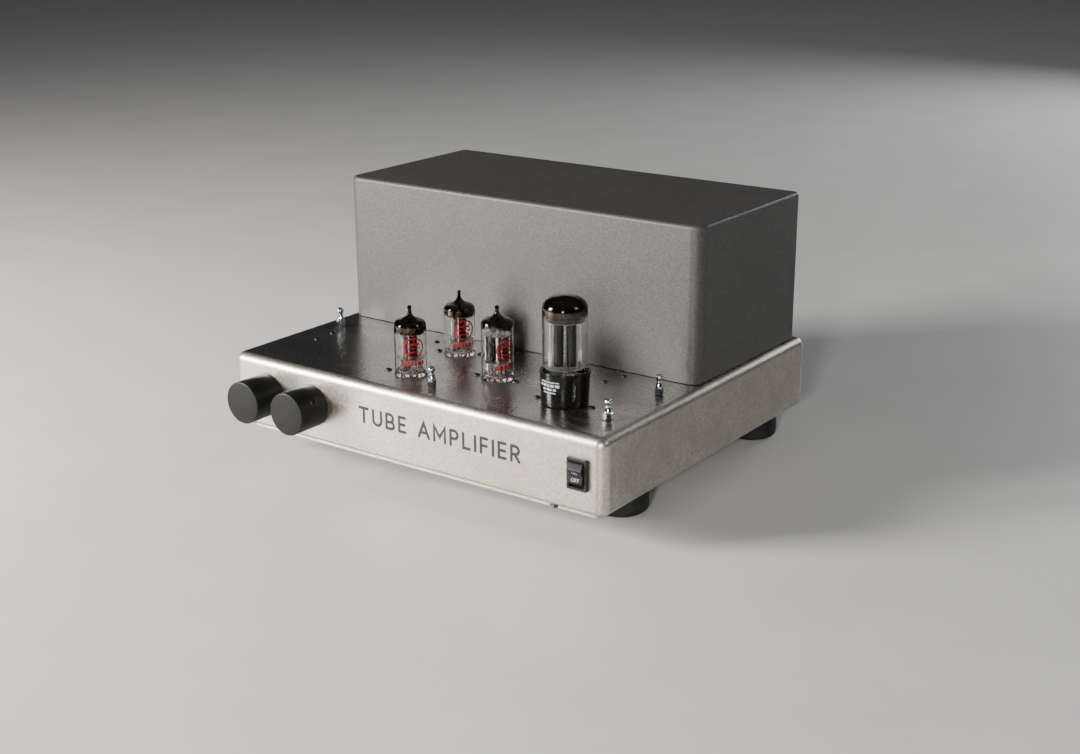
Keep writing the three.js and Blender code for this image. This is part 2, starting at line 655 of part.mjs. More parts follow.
SMALL_TUBES.forEach((tube, i) => {
  const at = [...tube.at, TOP];
  add(`noval_socket_${i + 1}`, novalSocket(), bakelite, at);
  add(`small_tube_${i + 1}_glass`, novalGlass(tube), clearGlass, at);
  add(`small_tube_${i + 1}_stem`, novalStem(), clearGlass, at);
  add(`small_tube_${i + 1}_electrodes`, novalElectrodes(tube), plateMetal, at);
});
const octalPlace = [...OCTAL_AT, TOP];
add('octal_socket', octalSocket(), bakelite, octalPlace);
add('power_tube_base', octalBase(), bakelite, octalPlace);
add('power_tube_glass', octalGlass(), clearGlass, octalPlace);
add('power_tube_electrodes', octalElectrodes(), plateMetal, octalPlace);

const volumePlace = [VOLUME_X, FRONT, CONTROL_Z];
const selectorPlace = [SELECTOR_X, FRONT, CONTROL_Z];
const SCREW_ANGLES = { volume: 200, selector: 34 };
add('volume_knob', knob(SCREW_ANGLES.volume), blackAnodised, volumePlace);
add('volume_shaft', shaft(9), chrome, volumePlace);
add('volume_potentiometer', control({ radius: 12, depth: 12 }), plateMetal, volumePlace);
add('selector_knob', knob(SCREW_ANGLES.selector), blackAnodised, selectorPlace);
add('selector_shaft', shaft(12), chrome, selectorPlace);
add('selector_switch', control({ radius: 14.5, depth: 16 }), plateMetal, selectorPlace);

add('power_switch_housing', switchHousing(), blackPlastic, [SWITCH.x, FRONT, CONTROL_Z]);
add('power_rocker', rocker(), blackPlastic, [SWITCH.x, FRONT - SWITCH.bezel + ROCKER.pivotBack, CONTROL_Z]);

add('mains_inlet', mainsInlet(), blackPlastic);
add('fuse_drawer', fuseDrawer(), blackPlastic, [DRAWER.x, 0, CONTROL_Z]);
['left', 'right'].forEach((side, i) => {
  add(`input_jack_${side}`, inputJack(), goldPlate, [JACK_X[i], BACK, CONTROL_Z]);
});
POST_X.forEach((x, i) => {
  add(`binding_post_${i + 1}`, bindingPost(), goldPlate, [x, BACK, CONTROL_Z]);
  add(`binding_post_${i + 1}_cap`, bindingCap(), i % 2 ? blackPlastic : redPlastic, [x, BACK, CONTROL_Z]);
});

const transformers = {
  power_transformer: { width: 96, height: 80, stack: 50, bulge: 14, x: 88 },
  output_transformer_left: { width: 66, height: 56, stack: 36, bulge: 11, x: -108 },
  output_transformer_right: { width: 66, height: 56, stack: 36, bulge: 11, x: -22 },
};
Object.entries(transformers).forEach(([name, size]) => {
  const at = [size.x, COVER.back - COVER.depth / 2, TOP + GAP];
  add(`${name}_core`, transformerCore(size), laminate, at);
  add(`${name}_coil`, transformerCoil(size), copperCoil, at);
});

add('circuit_board', circuitBoard(), boardGreen);
[25, 62].forEach((y, i) => {
  add(`filter_capacitor_${i + 1}`, rod(11, -20, 20, 16, 'x'), capacitorBlue, [0, y, 44.5]);
});
add('mains_wire', cable([
  [104, 104, 47], [118, 88, 44], [140, 60, 42], [147, 10, 41], [147, -50, 42], [144, -84, 46],
  [SWITCH.x, -101, CONTROL_Z],
], 2.6, 24), greyCable);
add('signal_cable', cable([
  [-124, 117, CONTROL_Z], [-132, 96, 44], [-143, 60, 40], [-146, 0, 39], [-144, -60, 40], [-134, -96, 44],
  [VOLUME_X, -116, CONTROL_Z],
], 2.2, 24), greyCable);

export default amplifier;
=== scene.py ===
"""Looks of a small valve amplifier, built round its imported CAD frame.

Shapes are put together in millimetres in the frame's own axes (X width, -Y front, Z up) and scaled to
metres when they become Blender meshes.
"""

import json
import math

import bpy
from mathutils import Matrix, Vector


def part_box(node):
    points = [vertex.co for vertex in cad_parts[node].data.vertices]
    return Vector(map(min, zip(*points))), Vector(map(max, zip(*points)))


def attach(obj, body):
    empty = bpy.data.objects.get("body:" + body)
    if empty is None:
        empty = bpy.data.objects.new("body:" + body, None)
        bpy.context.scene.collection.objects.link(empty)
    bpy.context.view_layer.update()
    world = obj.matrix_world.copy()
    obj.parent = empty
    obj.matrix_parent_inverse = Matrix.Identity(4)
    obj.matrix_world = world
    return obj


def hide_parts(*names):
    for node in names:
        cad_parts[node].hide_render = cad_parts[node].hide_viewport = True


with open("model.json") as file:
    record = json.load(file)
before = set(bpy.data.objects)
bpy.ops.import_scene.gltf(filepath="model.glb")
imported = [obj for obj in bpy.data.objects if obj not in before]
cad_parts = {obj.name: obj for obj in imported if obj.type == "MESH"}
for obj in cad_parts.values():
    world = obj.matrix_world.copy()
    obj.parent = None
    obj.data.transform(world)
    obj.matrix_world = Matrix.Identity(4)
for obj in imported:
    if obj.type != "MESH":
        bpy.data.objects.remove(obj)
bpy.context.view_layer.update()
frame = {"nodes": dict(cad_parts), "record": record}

MM = 0.001
ROOT = "enclosure"
scene = bpy.context.scene


# ---- places and sizes, in millimetres ----
def node_box(node):
    low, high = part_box(node)
    return Vector(low) / MM, Vector(high) / MM


def middle(node):
    low, high = node_box(node)
    return (low + high) / 2


CHASSIS_LOW, CHASSIS_HIGH = node_box("chassis")
PAN_LOW, PAN_HIGH = node_box("bottom_cover")
FRONT, BACK, TOP = CHASSIS_LOW.y, CHASSIS_HIGH.y, CHASSIS_HIGH.z
CONTROL_Z = middle("volume_knob").z
SWITCH_X = middle("power_switch_housing").x
SMALL_TUBES = {number: middle(f"small_tube_{number}_glass") for number in (1, 2, 3)}
POWER_TUBE = middle("power_tube_glass")
JACKS = {side: middle(f"input_jack_{side}") for side in ("left", "right")}
POSTS = {number: middle(f"binding_post_{number}") for number in (1, 2, 3, 4)}

# Folded sheet of the chassis and the covers, radii of its round holes, and what its square ones clear.
SHEET = 1.6
CHASSIS_CORNERS, TOP_BEND, BOTTOM_BEND, FLANGE = (7.0, 7.0), 6.0, 2.4, 14.0
COVER_CORNERS, COVER_TOP_BEND, COVER_FOOT_BEND, COVER_LIP = (9, 5), 2.5, 0.2, 8  # front and back corners
SMALL_HOLE, POWER_HOLE, SHAFT_HOLE, JACK_HOLE, POST_HOLE = 11.5, 14.4, 4.9, 4.45, 3.4
SWITCH_BODY, INLET_BODY, BODY_PLAY = (13.4, 18.8), (47.0, 27.0), 0.3

# Pins of both kinds of tube: their angles and the radius of the circle that they stand on.
SMALL_PINS, SMALL_PIN_CIRCLE = [36 * number for number in range(9)], 5.95
POWER_PINS, POWER_PIN_CIRCLE = [22.5 + 45 * number for number in range(8)], 8.75

# Each small tube: heights of its crown, its plates and the edge of its getter mirror above the deck, how
# far its plates and its print are turned about its axis, and where its two socket screws are.
TUBE_FORM = {
    1: (38.4, (12.5, 28.2), 30.0, -43, 52, ((-17.4, -3.4), (16.2, 2.2))),
    2: (36.6, (11.3, 27.0), 29.0, -43, 57, ((-14.9, -5.3), (14.4, 4.6))),
    3: (41.9, (12.5, 30.0), 35.5, 33, 71, ((-14.8, -4.0), (15.9, -0.8))),
}
TUBE_RADIUS, TUBE_SHOULDER, TUBE_WALL = 11.0, 4.4, 0.6
TUBE_SEAT = -1.5  # underside of a small tube's glass, just inside its hole in the deck
SMALL_ANODES, POWER_ANODES = ((-4.3, 0), (4.3, 0)), ((-4.1, 0), (4.1, 0))
POWER_SCREWS = ((-19.6, -3.2), (20.8, 0.2))
DECK_SCREWS = ((-130.9, -76.7), (-131.9, -58.6), (100.5, -21.8), (96.5, -39.1), (-54.2, -32.3))
POWER_RADIUS, POWER_SHOULDER, POWER_WALL, POWER_CROWN = 14.8, 8.0, 0.7, 70.3
POWER_PLATES, POWER_MIRROR, POWER_TURN = (25.2, 54.6), 58.8, 36
BASE_LOW, BASE_HIGH = 15.5, 16.5  # radii of the base at its foot and its rim
BASE_FOOT, BASE_RIM = 0.3, 22.6  # heights of its foot and its rim
MIRROR_GAP, MIRROR_SKIN, INK_THICKNESS = 0.35, 0.06, 0.05


# ---- camera ----
CAMERA_AZIMUTH, CAMERA_ELEVATION, CAMERA_ROLL = 35.84, 18.22, -0.262
CAMERA_DISTANCE = 1.1433
CAMERA_TARGET = Vector((0.01465, 0.0, TOP * MM - 0.02245))
CAMERA_LENS = 52.79


def link(made):
    scene.collection.objects.link(made)
    return made


def spin(axis, degrees, size=3):
    return Matrix.Rotation(math.radians(degrees), size, axis)


def aimed(azimuth, elevation, distance, target, roll=0.0):
    """Placing of a camera or light that looks at the target; azimuth 0 is in front, 90 on the right."""
    a, e = math.radians(azimuth), math.radians(elevation)
    back = Vector((math.sin(a) * math.cos(e), -math.cos(a) * math.cos(e), math.sin(e)))
    facing = (-back).to_track_quat("-Z", "Y").to_matrix() @ spin("Z", roll)
    return Matrix.Translation(Vector(target) + back * distance) @ facing.to_4x4()


def make_camera():
    data = bpy.data.cameras.new("camera")
    data.lens = CAMERA_LENS
    scene.camera = link(bpy.data.objects.new("camera", data))
    scene.camera.matrix_world = aimed(
        CAMERA_AZIMUTH, CAMERA_ELEVATION, CAMERA_DISTANCE, CAMERA_TARGET, CAMERA_ROLL
    )


make_camera()


# ---- shapes ----
class Shape:
    """Points and faces being put together, in millimetres."""

    def __init__(self, points=(), faces=()):
        self.points = [Vector(point) for point in points]
        self.faces = [list(face) for face in faces]

    def add(self, *others):
        for other in others:
            start = len(self.points)
            self.points += [point.copy() for point in other.points]
            self.faces += [[start + i for i in face] for face in other.faces]
        return self

    def move(self, x, y, z):
        for point in self.points:
            point += Vector((x, y, z))
        return self

    def turn(self, axis, degrees):
        matrix = spin(axis, degrees)
        self.points = [matrix @ point for point in self.points]
        return self

    def bend(self, function):
        self.points = [Vector(function(point)) for point in self.points]
        return self

    def around(self, angles, radius):
        """Copies of the shape at these angles round the Z axis."""
        return Shape().add(*(Shape().add(self).move(radius, 0, 0).turn("Z", angle) for angle in angles))

    def at(self, places):
        return Shape().add(*(Shape().add(self).move(x, y, 0) for x, y in places))


def arc(cx, cy, radius, start, end, steps):
    angles = [math.radians(start + (end - start) * i / steps) for i in range(steps + 1)]
    return [(cx + radius * math.cos(a), cy + radius * math.sin(a)) for a in angles]


def raised(profile, height):
    return [(radius, z + height) for radius, z in profile]


def tube(rings, closed=False):
    """Body through rings of points, equally many in each or a single one. It is closed on itself, or by
    flat faces at its ends."""
    shape, starts = Shape(), []
    for ring in rings:
        starts.append(len(shape.points))
        shape.points += [Vector(point) for point in ring]

    def spot(ring, side):
        return starts[ring] + side % len(rings[ring])

    order = [*range(len(rings)), 0] if closed else range(len(rings))
    for low, high in zip(order, order[1:]):
        for side in range(max(len(ring) for ring in rings)):
            corners = spot(low, side), spot(low, side + 1), spot(high, side + 1), spot(high, side)
            shape.faces.append(list(dict.fromkeys(corners)))
    if not closed and len(rings[0]) > 1:
        shape.faces.append([spot(0, side) for side in range(len(rings[0]))][::-1])
        shape.faces.append([spot(order[-1], side) for side in range(len(rings[-1]))])
    return shape


def lathe(profile, sides=48, hexed=()):
    """Body of revolution about Z. The profile runs up its outside, as (radius, height), from axis to axis
    or round to its first point. Rings named in hexed are hexagons with that apothem."""
    closed, sixth, rings = profile[0] == profile[-1], math.radians(60), []
    for number, (radius, height) in enumerate(profile[:-1] if closed else profile):
        rings.append([])
        for side in range(sides if radius else 1):
            angle = 2 * math.pi * side / sides
            reach = radius / math.cos((angle % sixth) - sixth / 2) if number in hexed else radius
            rings[-1].append((reach * math.cos(angle), reach * math.sin(angle), height))
    return tube(rings, closed)


def rod(radius, low, high, sides=24, edge=0.0):
    """Upright rod, its two rims rounded by edge."""
    if not edge:
        return lathe([(0, low), (radius, low), (radius, high), (0, high)], sides)
    lower = arc(radius - edge, low + edge, edge, -90, 0, 3)
    upper = arc(radius - edge, high - edge, edge, 0, 90, 3)
    return lathe([(0, low), *lower, *upper, (0, high)], sides)


def rounded_outline(width, depth, corner, steps=10, inset=0.0):
    """Rectangle with round corners, drawn in by inset; a pair of radii gives the front and back ones."""
    front, back = corner if isinstance(corner, tuple) else (corner, corner)
    x, y = width / 2 - inset, depth / 2 - inset
    return [
        *arc(x - back, y - back, back, 0, 90, steps),
        *arc(back - x, y - back, back, 90, 180, steps),
        *arc(front - x, front - y, front, 180, 270, steps),
        *arc(x - front, front - y, front, 270, 360, steps),
    ]


def stack(layers):
    """Closed body through (height, outline) layers, from the lowest up."""
    return tube([[(x, y, z) for x, y in outline] for z, outline in layers])


def prism(outline, low, high):
    return stack([(low, outline), (high, outline)])


def box(low, high):
    (x0, y0, z0), (x1, y1, z1) = low, high
    return prism([(x0, y0), (x1, y0), (x1, y1), (x0, y1)], z0, z1)


def folded_box(width, depth, low, high, corners, top_bend, bottom_bend, steps=6):
    """Box with round upright corners and bent edges, as folded sheet has."""
    quarter = [math.radians(90 * i / steps) for i in range(steps + 1)]

    def layer(height, inset):
        tight = tuple(max(radius - inset, 0.25) for radius in corners)
        return height, rounded_outline(width, depth, tight, inset=inset)

    def bent(edge, way, bend):
        return [layer(edge + way * bend * (1 - math.sin(a)), bend * (1 - math.cos(a))) for a in quarter]

    return stack(bent(low, 1, bottom_bend)[::-1] + bent(high, -1, top_bend))


def smooth_path(points, steps):
    """Catmull-Rom points through the given ones."""
    path = [Vector(point) for point in points]
    ends = [2 * path[0] - path[1], *path, 2 * path[-1] - path[-2]]
    out = []
    for i in range(1, len(ends) - 2):
        a, b, c, d = ends[i - 1 : i + 3]
        for step in range(steps):
            t = step / steps
            square, cube = (2 * a - 5 * b + 4 * c - d) * t**2, (3 * b - a - 3 * c + d) * t**3
            out.append(0.5 * (2 * b + (c - a) * t + square + cube))
    return [*out, path[-1]]


def wire(points, radius, closed=False):
    """Wire along points, its eight-sided section carried without twist."""
    path, sides = [Vector(point) for point in points], 8
    turns = [2 * math.pi * number / sides for number in range(sides)]
    rings, normal = [], None
    for i, point in enumerate(path):
        before = path[i - 1] if closed or i else point
        after = path[(i + 1) % len(path)] if closed or i < len(path) - 1 else point
        tangent = (after - before).normalized()
        normal = normal or tangent.orthogonal().normalized()
        normal = (normal - tangent * normal.dot(tangent)).normalized()
        side = tangent.cross(normal)
        rings.append([point + (normal * math.cos(turn) + side * math.sin(turn)) * radius for turn in turns])
    return tube(rings, closed)


def loop(radius, height, thickness, steps=36):
    points = [(x, y, height) for x, y in arc(0, 0, radius, 0, 360, steps)[:-1]]
    return wire(points, thickness, closed=True)


def facing_front(shape):
    """Turns a shape made along Z so that its top faces the front."""
    return shape.turn("X", 90)


def facing_back(shape):
    return shape.turn("X", -90)


# ---- looks: one Principled shader each, with its textures in object space ----
EVEN = (1, 1, 1)
SLOT_OF, LOOK_FOR = {}, {}


class Look:
    """A material being put together, for pieces of one slot. The first look made for a slot is also the one
    that the CAD parts of that slot get."""

    def __init__(self, name, slot, **fixed):
        self.material = bpy.data.materials.new(name)
        self.material.use_nodes = True
        self.tree = self.material.node_tree
        SLOT_OF[self.material.name] = slot
        LOOK_FOR.setdefault(slot, self.material)
        self.set(**fixed)

    def plug(self, socket, value):
        """Links a texture to a socket, or sets the socket to a constant."""
        if isinstance(value, bpy.types.NodeSocket):
            self.tree.links.new(value, socket)
        else:
            socket.default_value = (*value, 1) if socket.type == "RGBA" else value

    def set(self, **values):
        shader = self.tree.nodes["Principled BSDF"]
        for name, value in values.items():
            self.plug(shader.inputs[name.replace("_", " ")], value)

    def node(self, kind, inputs, **settings):
        made = self.tree.nodes.new("ShaderNode" + kind)
        for name, value in settings.items():
            setattr(made, name, value)
        for name, value in inputs.items():
            self.plug(made.inputs[name], value)
        return made.outputs

    def place(self, stretch=EVEN):
        """Object-space position with each axis scaled: a small number draws the texture out along it."""
        where = self.node("TexCoord", {})["Object"]
        return self.node("Mapping", {"Vector": where, "Scale": stretch})["Vector"]

    def noise(self, size, stretch=EVEN, detail=3.0, rough=0.55, distortion=0.0):
        """Noise whose grains are about `size` millimetres."""
        inputs = {"Scale": 1 / (size * MM), "Detail": detail, "Roughness": rough, "Distortion": distortion}
        return self.node("TexNoise", {"Vector": self.place(stretch), **inputs})["Fac"]

    def beyond(self, axis, low, high):
        """0 where the coordinate along the axis is under low, 1 where it is over high, in millimetres."""
        return self.spread(self.node("SeparateXYZ", {0: self.place()})[axis], low * MM, high * MM)

    def spread(self, factor, low, high, out_low=0, out_high=1):
        limits = {"From Min": low, "From Max": high, "To Min": out_low, "To Max": out_high}
        return self.node("MapRange", {"Value": factor, **limits})["Result"]

    def math(self, operation, a, b):
        return self.node("Math", {0: a, 1: b}, operation=operation)[0]

    def blend(self, factor, first, second):
        """Colour between two colours, each a triple or another blend."""
        return self.node("Mix", {"Factor": factor, 6: first, 7: second}, data_type="RGBA")[2]

    def bump(self, height, depth, strength, after=None):
        """Bump from a texture; depth in millimetres."""
        inputs = {"Height": height, "Distance": depth * MM, "Strength": strength}
        normal = self.node("Bump", inputs if after is None else {**inputs, "Normal": after})["Normal"]
        self.set(Normal=normal)
        return normal


def sheet_steel():
    """Warm grained steel on the walls; on the deck glossier, brushed from side to side and painted darker
    than the walls of the same sheet as painted shade, with scuffs along its right edge."""
    look = Look("sheet_steel", "steel", Metallic=1.0)
    # deck covers only the flat top, so the bend keeps the walls' lighter tones; the deck's darker tones are
    # painted shade
    deck, right = look.beyond("Z", TOP - 0.3, TOP - 0.02), look.beyond("X", 95, 150)
    grain = look.noise(1.9, EVEN, 5, 0.75)
    streak = look.noise(0.5, (0.04, 1, 1), 4, 0.6)
    smudge = look.noise(38, (0.6, 1, 1), 4)
    scuff = look.noise(5, (0.12, 1, 1), 6, 0.75, 2.2)
    cloud = look.noise(24, (0.5, 1, 1), 4, 0.6)
    wall = look.blend(look.spread(grain, 0.36, 0.64), (0.44, 0.409, 0.346), (0.71, 0.672, 0.59))
    wall = look.blend(look.spread(cloud, 0.4, 0.68, 0, 0.5), wall, (0.42, 0.385, 0.315))
    # painted shade: darker tones for the deck than for the walls, though it is one sheet of steel
    top = look.blend(look.spread(streak, 0.3, 0.7), (0.3, 0.291, 0.277), (0.44, 0.428, 0.406))
    top = look.blend(look.spread(smudge, 0.35, 0.7, 0, 0.5), top, (0.26, 0.25, 0.238))
    scratch = look.math("MULTIPLY", look.spread(scuff, 0.5, 0.62), right)
    top = look.blend(scratch, top, (0.6, 0.58, 0.54))
    uneven = look.spread(grain, 0.3, 0.7, 0.82, 1.18)
    rough = look.math("MULTIPLY", uneven, look.spread(deck, 0, 1, 0.38, 0.27))
    rough = look.math("ADD", rough, look.math("MULTIPLY", scratch, look.spread(deck, 0, 1, 0, 0.15)))
    rough = look.math("ADD", rough, look.spread(smudge, 0.3, 0.7, -0.03, 0.05))
    # the painted shade on the deck is blended in here over the flat top
    look.set(Base_Color=look.blend(deck, wall, top), Roughness=rough)
    first = look.bump(look.math("MULTIPLY", grain, look.spread(deck, 0, 1, 1, 0.25)), 0.03, 0.8)
    second = look.bump(streak, 0.006, 0.4, after=first)
    look.bump(look.spread(scuff, 0.5, 0.66), 0.012, 0.5, after=second)
    return look.material


def powder_coat():
    look = Look("powder_coat", "powder_coat")
    stipple, grit, wide = look.noise(1.0, EVEN, 4, 0.62), look.noise(0.4, EVEN, 2), look.noise(60)
    shade = look.blend(look.spread(stipple, 0.35, 0.7), (0.028, 0.0275, 0.027), (0.078, 0.076, 0.074))
    fine, broad = look.spread(grit, 0.3, 0.7, 0.4, 0.54), look.spread(wide, 0.3, 0.7, -0.03, 0.04)
    look.set(Base_Color=shade, Roughness=look.math("ADD", fine, broad))
    look.bump(grit, 0.05, 0.4, after=look.bump(stipple, 0.2, 0.75))
    return look.material


def getter_mirror(name, edge, fade):
    """Metal evaporated onto the inside of the glass, nearly black, thinning out brown at its lower edge."""
    look = Look(name, "electrode", Metallic=1.0)
    cloud = look.noise(3.5, EVEN, 4)
    rise = look.beyond("Z", edge - 1.5, edge + fade)
    cover = look.math("ADD", rise, look.spread(cloud, 0.3, 0.7, -0.35, 0.25))
    body = look.blend(look.spread(cloud, 0.35, 0.7), (0.05, 0.044, 0.04), (0.11, 0.098, 0.088))
    colour = look.blend(look.spread(cover, 0.5, 1.2), (0.05, 0.028, 0.016), body)
    gloss = look.spread(cloud, 0.3, 0.7, 0.03, 0.09)
    look.set(Base_Color=colour, Roughness=gloss, Alpha=look.spread(cover, 0.1, 1.0))
    return look.material


def surface(name, slot, grain, tones, span=(0.35, 0.7), rough=0.5, bump=(0.01, 0.4), rough_grain=None,
            bump_grain=None, rough_span=(0.3, 0.7), **fixed):
    """Look whose colour goes between two tones with a noise, given as Look.noise takes it. Its roughness, a
    number or a range, and its bump, a depth and a strength, follow that noise or ones of their own."""
    look = Look(name, slot, **fixed)
    rough_grain, bump_grain = rough_grain or grain, bump_grain or grain
    made = {wanted: look.noise(*wanted) for wanted in (grain, rough_grain, bump_grain)}
    if isinstance(rough, tuple):
        rough = look.spread(made[rough_grain], *rough_span, *rough)
    look.set(Base_Color=look.blend(look.spread(made[grain], *span), *tones), Roughness=rough)
    look.bump(made[bump_grain], *bump)
    return look.material


def shaded(colour, times, plus=0.0):
    return tuple(value * times + plus for value in colour)


def moulded(name, slot, colour, rough, grain=0.35, depth=0.03, specular=0.5):
    tones, texture = (colour, shaded(colour, 1.7, 0.006)), (grain, EVEN, 3)
    return surface(name, slot, (6, EVEN, 4), tones, (0.45, 0.8), rough, (depth, 0.5), texture, texture,
                   Specular_IOR_Level=specular)


def plate_metal(name, tones, rough, metallic, specular):
    """Nickel plate blackened with carbon, cloudy along its height."""
    return surface(name, "electrode", (2.4, (1, 1, 0.3), 5), tones, rough=(rough, rough + 0.16),
                   bump_grain=(0.25,), Metallic=metallic, Specular_IOR_Level=specular)


def plated_wire(name, slot, colour, rough):
    tones, gloss = (colour, shaded(colour, 0.6)), (rough * 0.6, rough * 1.8)
    return surface(name, slot, (1.1, EVEN, 4), tones, (0.35, 0.75), gloss, (0.006, 0.3), bump_grain=(0.3,),
                   Metallic=1.0)


def ink(name, slot, colour, rough=0.5):
    tones = (colour, shaded(colour, 0.7))
    return surface(name, slot, (0.6, EVEN, 5), tones, (0.45, 0.8), rough, Specular_IOR_Level=0.25)


STEEL = sheet_steel()
POWDER = powder_coat()
CHROME = surface(
    "chrome", "chrome", (1.2, EVEN, 4), ((0.7, 0.73, 0.75), (0.5, 0.54, 0.57)), (0.4, 0.7), (0.05, 0.18),
    (0.004, 0.3), bump_grain=(0.5,), rough_span=(0.35, 0.7), Metallic=1.0,
)
RUBBER = surface(
    "rubber", "rubber", (9, EVEN, 5), ((0.009, 0.009, 0.009), (0.024, 0.024, 0.023)), (0.45, 0.75),
    (0.55, 0.8), (0.05, 0.5), (0.7, EVEN, 4), (0.7, EVEN, 4), Specular_IOR_Level=0.35,
)
DARK = (0.01, 0.01, 0.011)
BLACK_PLASTIC = moulded("black_plastic", "black_plastic", DARK, (0.35, 0.5), specular=0.3)
ROCKER_PLASTIC = moulded("rocker_plastic", "black_plastic", DARK, (0.3, 0.42), 0.6, 0.01, 0.2)
RED_PLASTIC = moulded("red_plastic", "red_plastic", (0.38, 0.014, 0.014), (0.15, 0.3), 1.0, 0.01)
moulded("sleeve_blue", "capacitor", (0.02, 0.035, 0.08), (0.3, 0.45))
moulded("cable_grey", "cable", (0.04, 0.04, 0.042), (0.4, 0.6))
ANODISED = surface(
    "anodised_black", "anodised", (7, EVEN, 3), ((0.007,) * 3, (0.011,) * 3), rough=(0.36, 0.46),
    rough_grain=(0.3, (1, 0.04, 1), 3), bump_grain=(0.3, (1, 0.04, 1), 3), Specular_IOR_Level=0.16,
)
GLASS = surface(
    "clear_glass", "glass", (5, EVEN, 4), ((1.0, 1.0, 1.0), (0.95, 0.955, 0.955)), (0.45, 0.8), 0.0,
    (0.02, 0.15), bump_grain=(9, EVEN, 2), Transmission_Weight=1.0, IOR=1.12,
)
# Thick glass with folds and bubbles from being pinched round the wires.
PRESSED_GLASS = surface(
    "pressed_glass", "glass", (1.3, EVEN, 3, 0.55, 1.0), ((1.0, 0.98, 0.96), (0.9, 0.8, 0.74)), (0.4, 0.7),
    0.05, (0.6, 1.0), Transmission_Weight=0.75, IOR=1.5,
)
GREY_PLATE = plate_metal("grey_plate", ((0.012, 0.012, 0.012), (0.05, 0.05, 0.051)), 0.18, 0.7, 0.4)
BLACK_PLATE = plate_metal("black_plate", ((0.004,) * 3, (0.01,) * 3), 0.22, 0.0, 0.3)
MICA = surface(
    "mica", "electrode", (1.6, EVEN, 6, 0.7), ((0.55, 0.47, 0.41), (0.22, 0.16, 0.12)), (0.35, 0.65),
    (0.15, 0.4), (0.03, 0.6), Transmission_Weight=0.3, IOR=1.5,
)
NICKEL = plated_wire("nickel_wire", "electrode", (0.85, 0.81, 0.77), 0.26)
COPPER = plated_wire("copper_lead", "electrode", (0.75, 0.3, 0.17), 0.2)
GOLD = plated_wire("gold_plate", "gold", (0.83, 0.62, 0.28), 0.14)
BLACK_OXIDE = plated_wire("black_oxide", "steel", (0.09, 0.09, 0.092), 0.25)
ZINC = plated_wire("zinc_plate", "pot_metal", (0.6, 0.61, 0.62), 0.25)
BAKELITE = surface(
    "bakelite", "bakelite", (5, EVEN, 5, 0.55, 1.0), ((0.004,) * 3, (0.009, 0.008, 0.007)), (0.4, 0.7),
    (0.12, 0.22), (0.015, 0.3), bump_grain=(2.5, EVEN, 3), Specular_IOR_Level=0.22,
)
RED_INK = ink("red_ink", "red_plastic", (0.25, 0.001, 0.006), 0.4)
WHITE_INK = ink("white_ink", "bakelite", (0.36, 0.4, 0.42))
ENGRAVING = ink("engraving_fill", "black_plastic", (0.035, 0.033, 0.03), 0.6)
surface(
    "laminations", "laminations", (0.5, (0.02, 1, 0.02), 2), ((0.13, 0.135, 0.145), (0.28, 0.285, 0.3)),
    (0.35, 0.65), 0.45, (0.06, 0.7), Metallic=0.8,
)
surface(
    "winding_wrap", "winding", (0.6, (0.02, 0.02, 1), 2), ((0.42, 0.25, 0.07), (0.6, 0.4, 0.16)),
    (0.35, 0.65), 0.35, (0.06, 0.6), Coat_Weight=0.3, Coat_Roughness=0.2,
)
surface(
    "circuit_laminate", "board", (0.8, EVEN, 2), ((0.022, 0.09, 0.04), (0.04, 0.14, 0.065)), (0.4, 0.6),
    0.35, (0.02, 0.5), Coat_Weight=0.2, Coat_Roughness=0.2,
)
FLOOR = surface(
    "pale_floor", "stage", (90, EVEN, 3), ((0.6, 0.6, 0.595), (0.64, 0.64, 0.635)), (0.3, 0.7), 0.55,
    (0.02, 0.2), bump_grain=(1.5,),
)


# ---- pieces ----
SHARP = 32  # degrees from which an edge stays sharp


def solid(name, shape, at=(0, 0, 0)):
    mesh = bpy.data.meshes.new(name)
    place = Vector(at)
    mesh.from_pydata([tuple((point + place) * MM) for point in shape.points], [], shape.faces)
    return link(bpy.data.objects.new(name, mesh))


def smooth(mesh, sharp):
    mesh.shade_smooth()
    mesh.set_sharp_from_angle(angle=math.radians(sharp))


def piece(name, shape, look, body=ROOT, stands_for=(), at=(0, 0, 0), slot=None, sharp=SHARP, bevel=0.0,
          flat=False):
    """Makes a shape into an object that rides on a CAD body. bevel rounds its edges, in millimetres; flat
    keeps big flat faces flat where they meet soft bends."""
    made = solid(name, shape, at)
    made.data.validate()
    made.data.materials.append(look)
    smooth(made.data, sharp)
    if bevel:
        soft = made.modifiers.new("rounded edges", "BEVEL")
        soft.width = bevel * MM
        soft.segments = 3
        soft.limit_method = "ANGLE"
        soft.angle_limit = math.radians(SHARP)
    if flat or bevel:
        level = made.modifiers.new("flat faces", "WEIGHTED_NORMAL")
        level.keep_sharp = True
    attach(made, body)
    if stands_for:
        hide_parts(*stands_for)
    return made


def part_maker(body, at):
    """A shorter way to make the pieces of one body, named after it and placed at one point."""

    def part(suffix, shape, look, stands_for=(), **more):
        return piece(f"{body}_{suffix}", shape, look, body, stands_for, at, **more)

    return part


def evaluated_mesh(made):
    bpy.context.view_layer.update()
    return bpy.data.meshes.new_from_object(made.evaluated_get(bpy.context.evaluated_depsgraph_get()))


def carve(made, shape):
    """Cuts a shape out of a piece's own mesh; its modifiers still come after."""
    cutter = solid("cutter", shape)
    tool = made.modifiers.new("cut", "BOOLEAN")
    tool.operation = "DIFFERENCE"
    tool.solver = "EXACT"
    tool.object = cutter
    while made.modifiers[0] != tool:
        made.modifiers.move(len(made.modifiers) - 1, 0)
    others = [modifier for modifier in made.modifiers if modifier != tool]
    for modifier in others:
        modifier.show_viewport = False
    mesh = evaluated_mesh(made)
    for modifier in others:
        modifier.show_viewport = True
    made.modifiers.remove(tool)
    old, made.data = made.data, mesh
    mesh.name = old.name
    bpy.data.meshes.remove(old)
    bpy.data.meshes.remove(cutter.data)  # and the cutter with it
    smooth(mesh, SHARP)


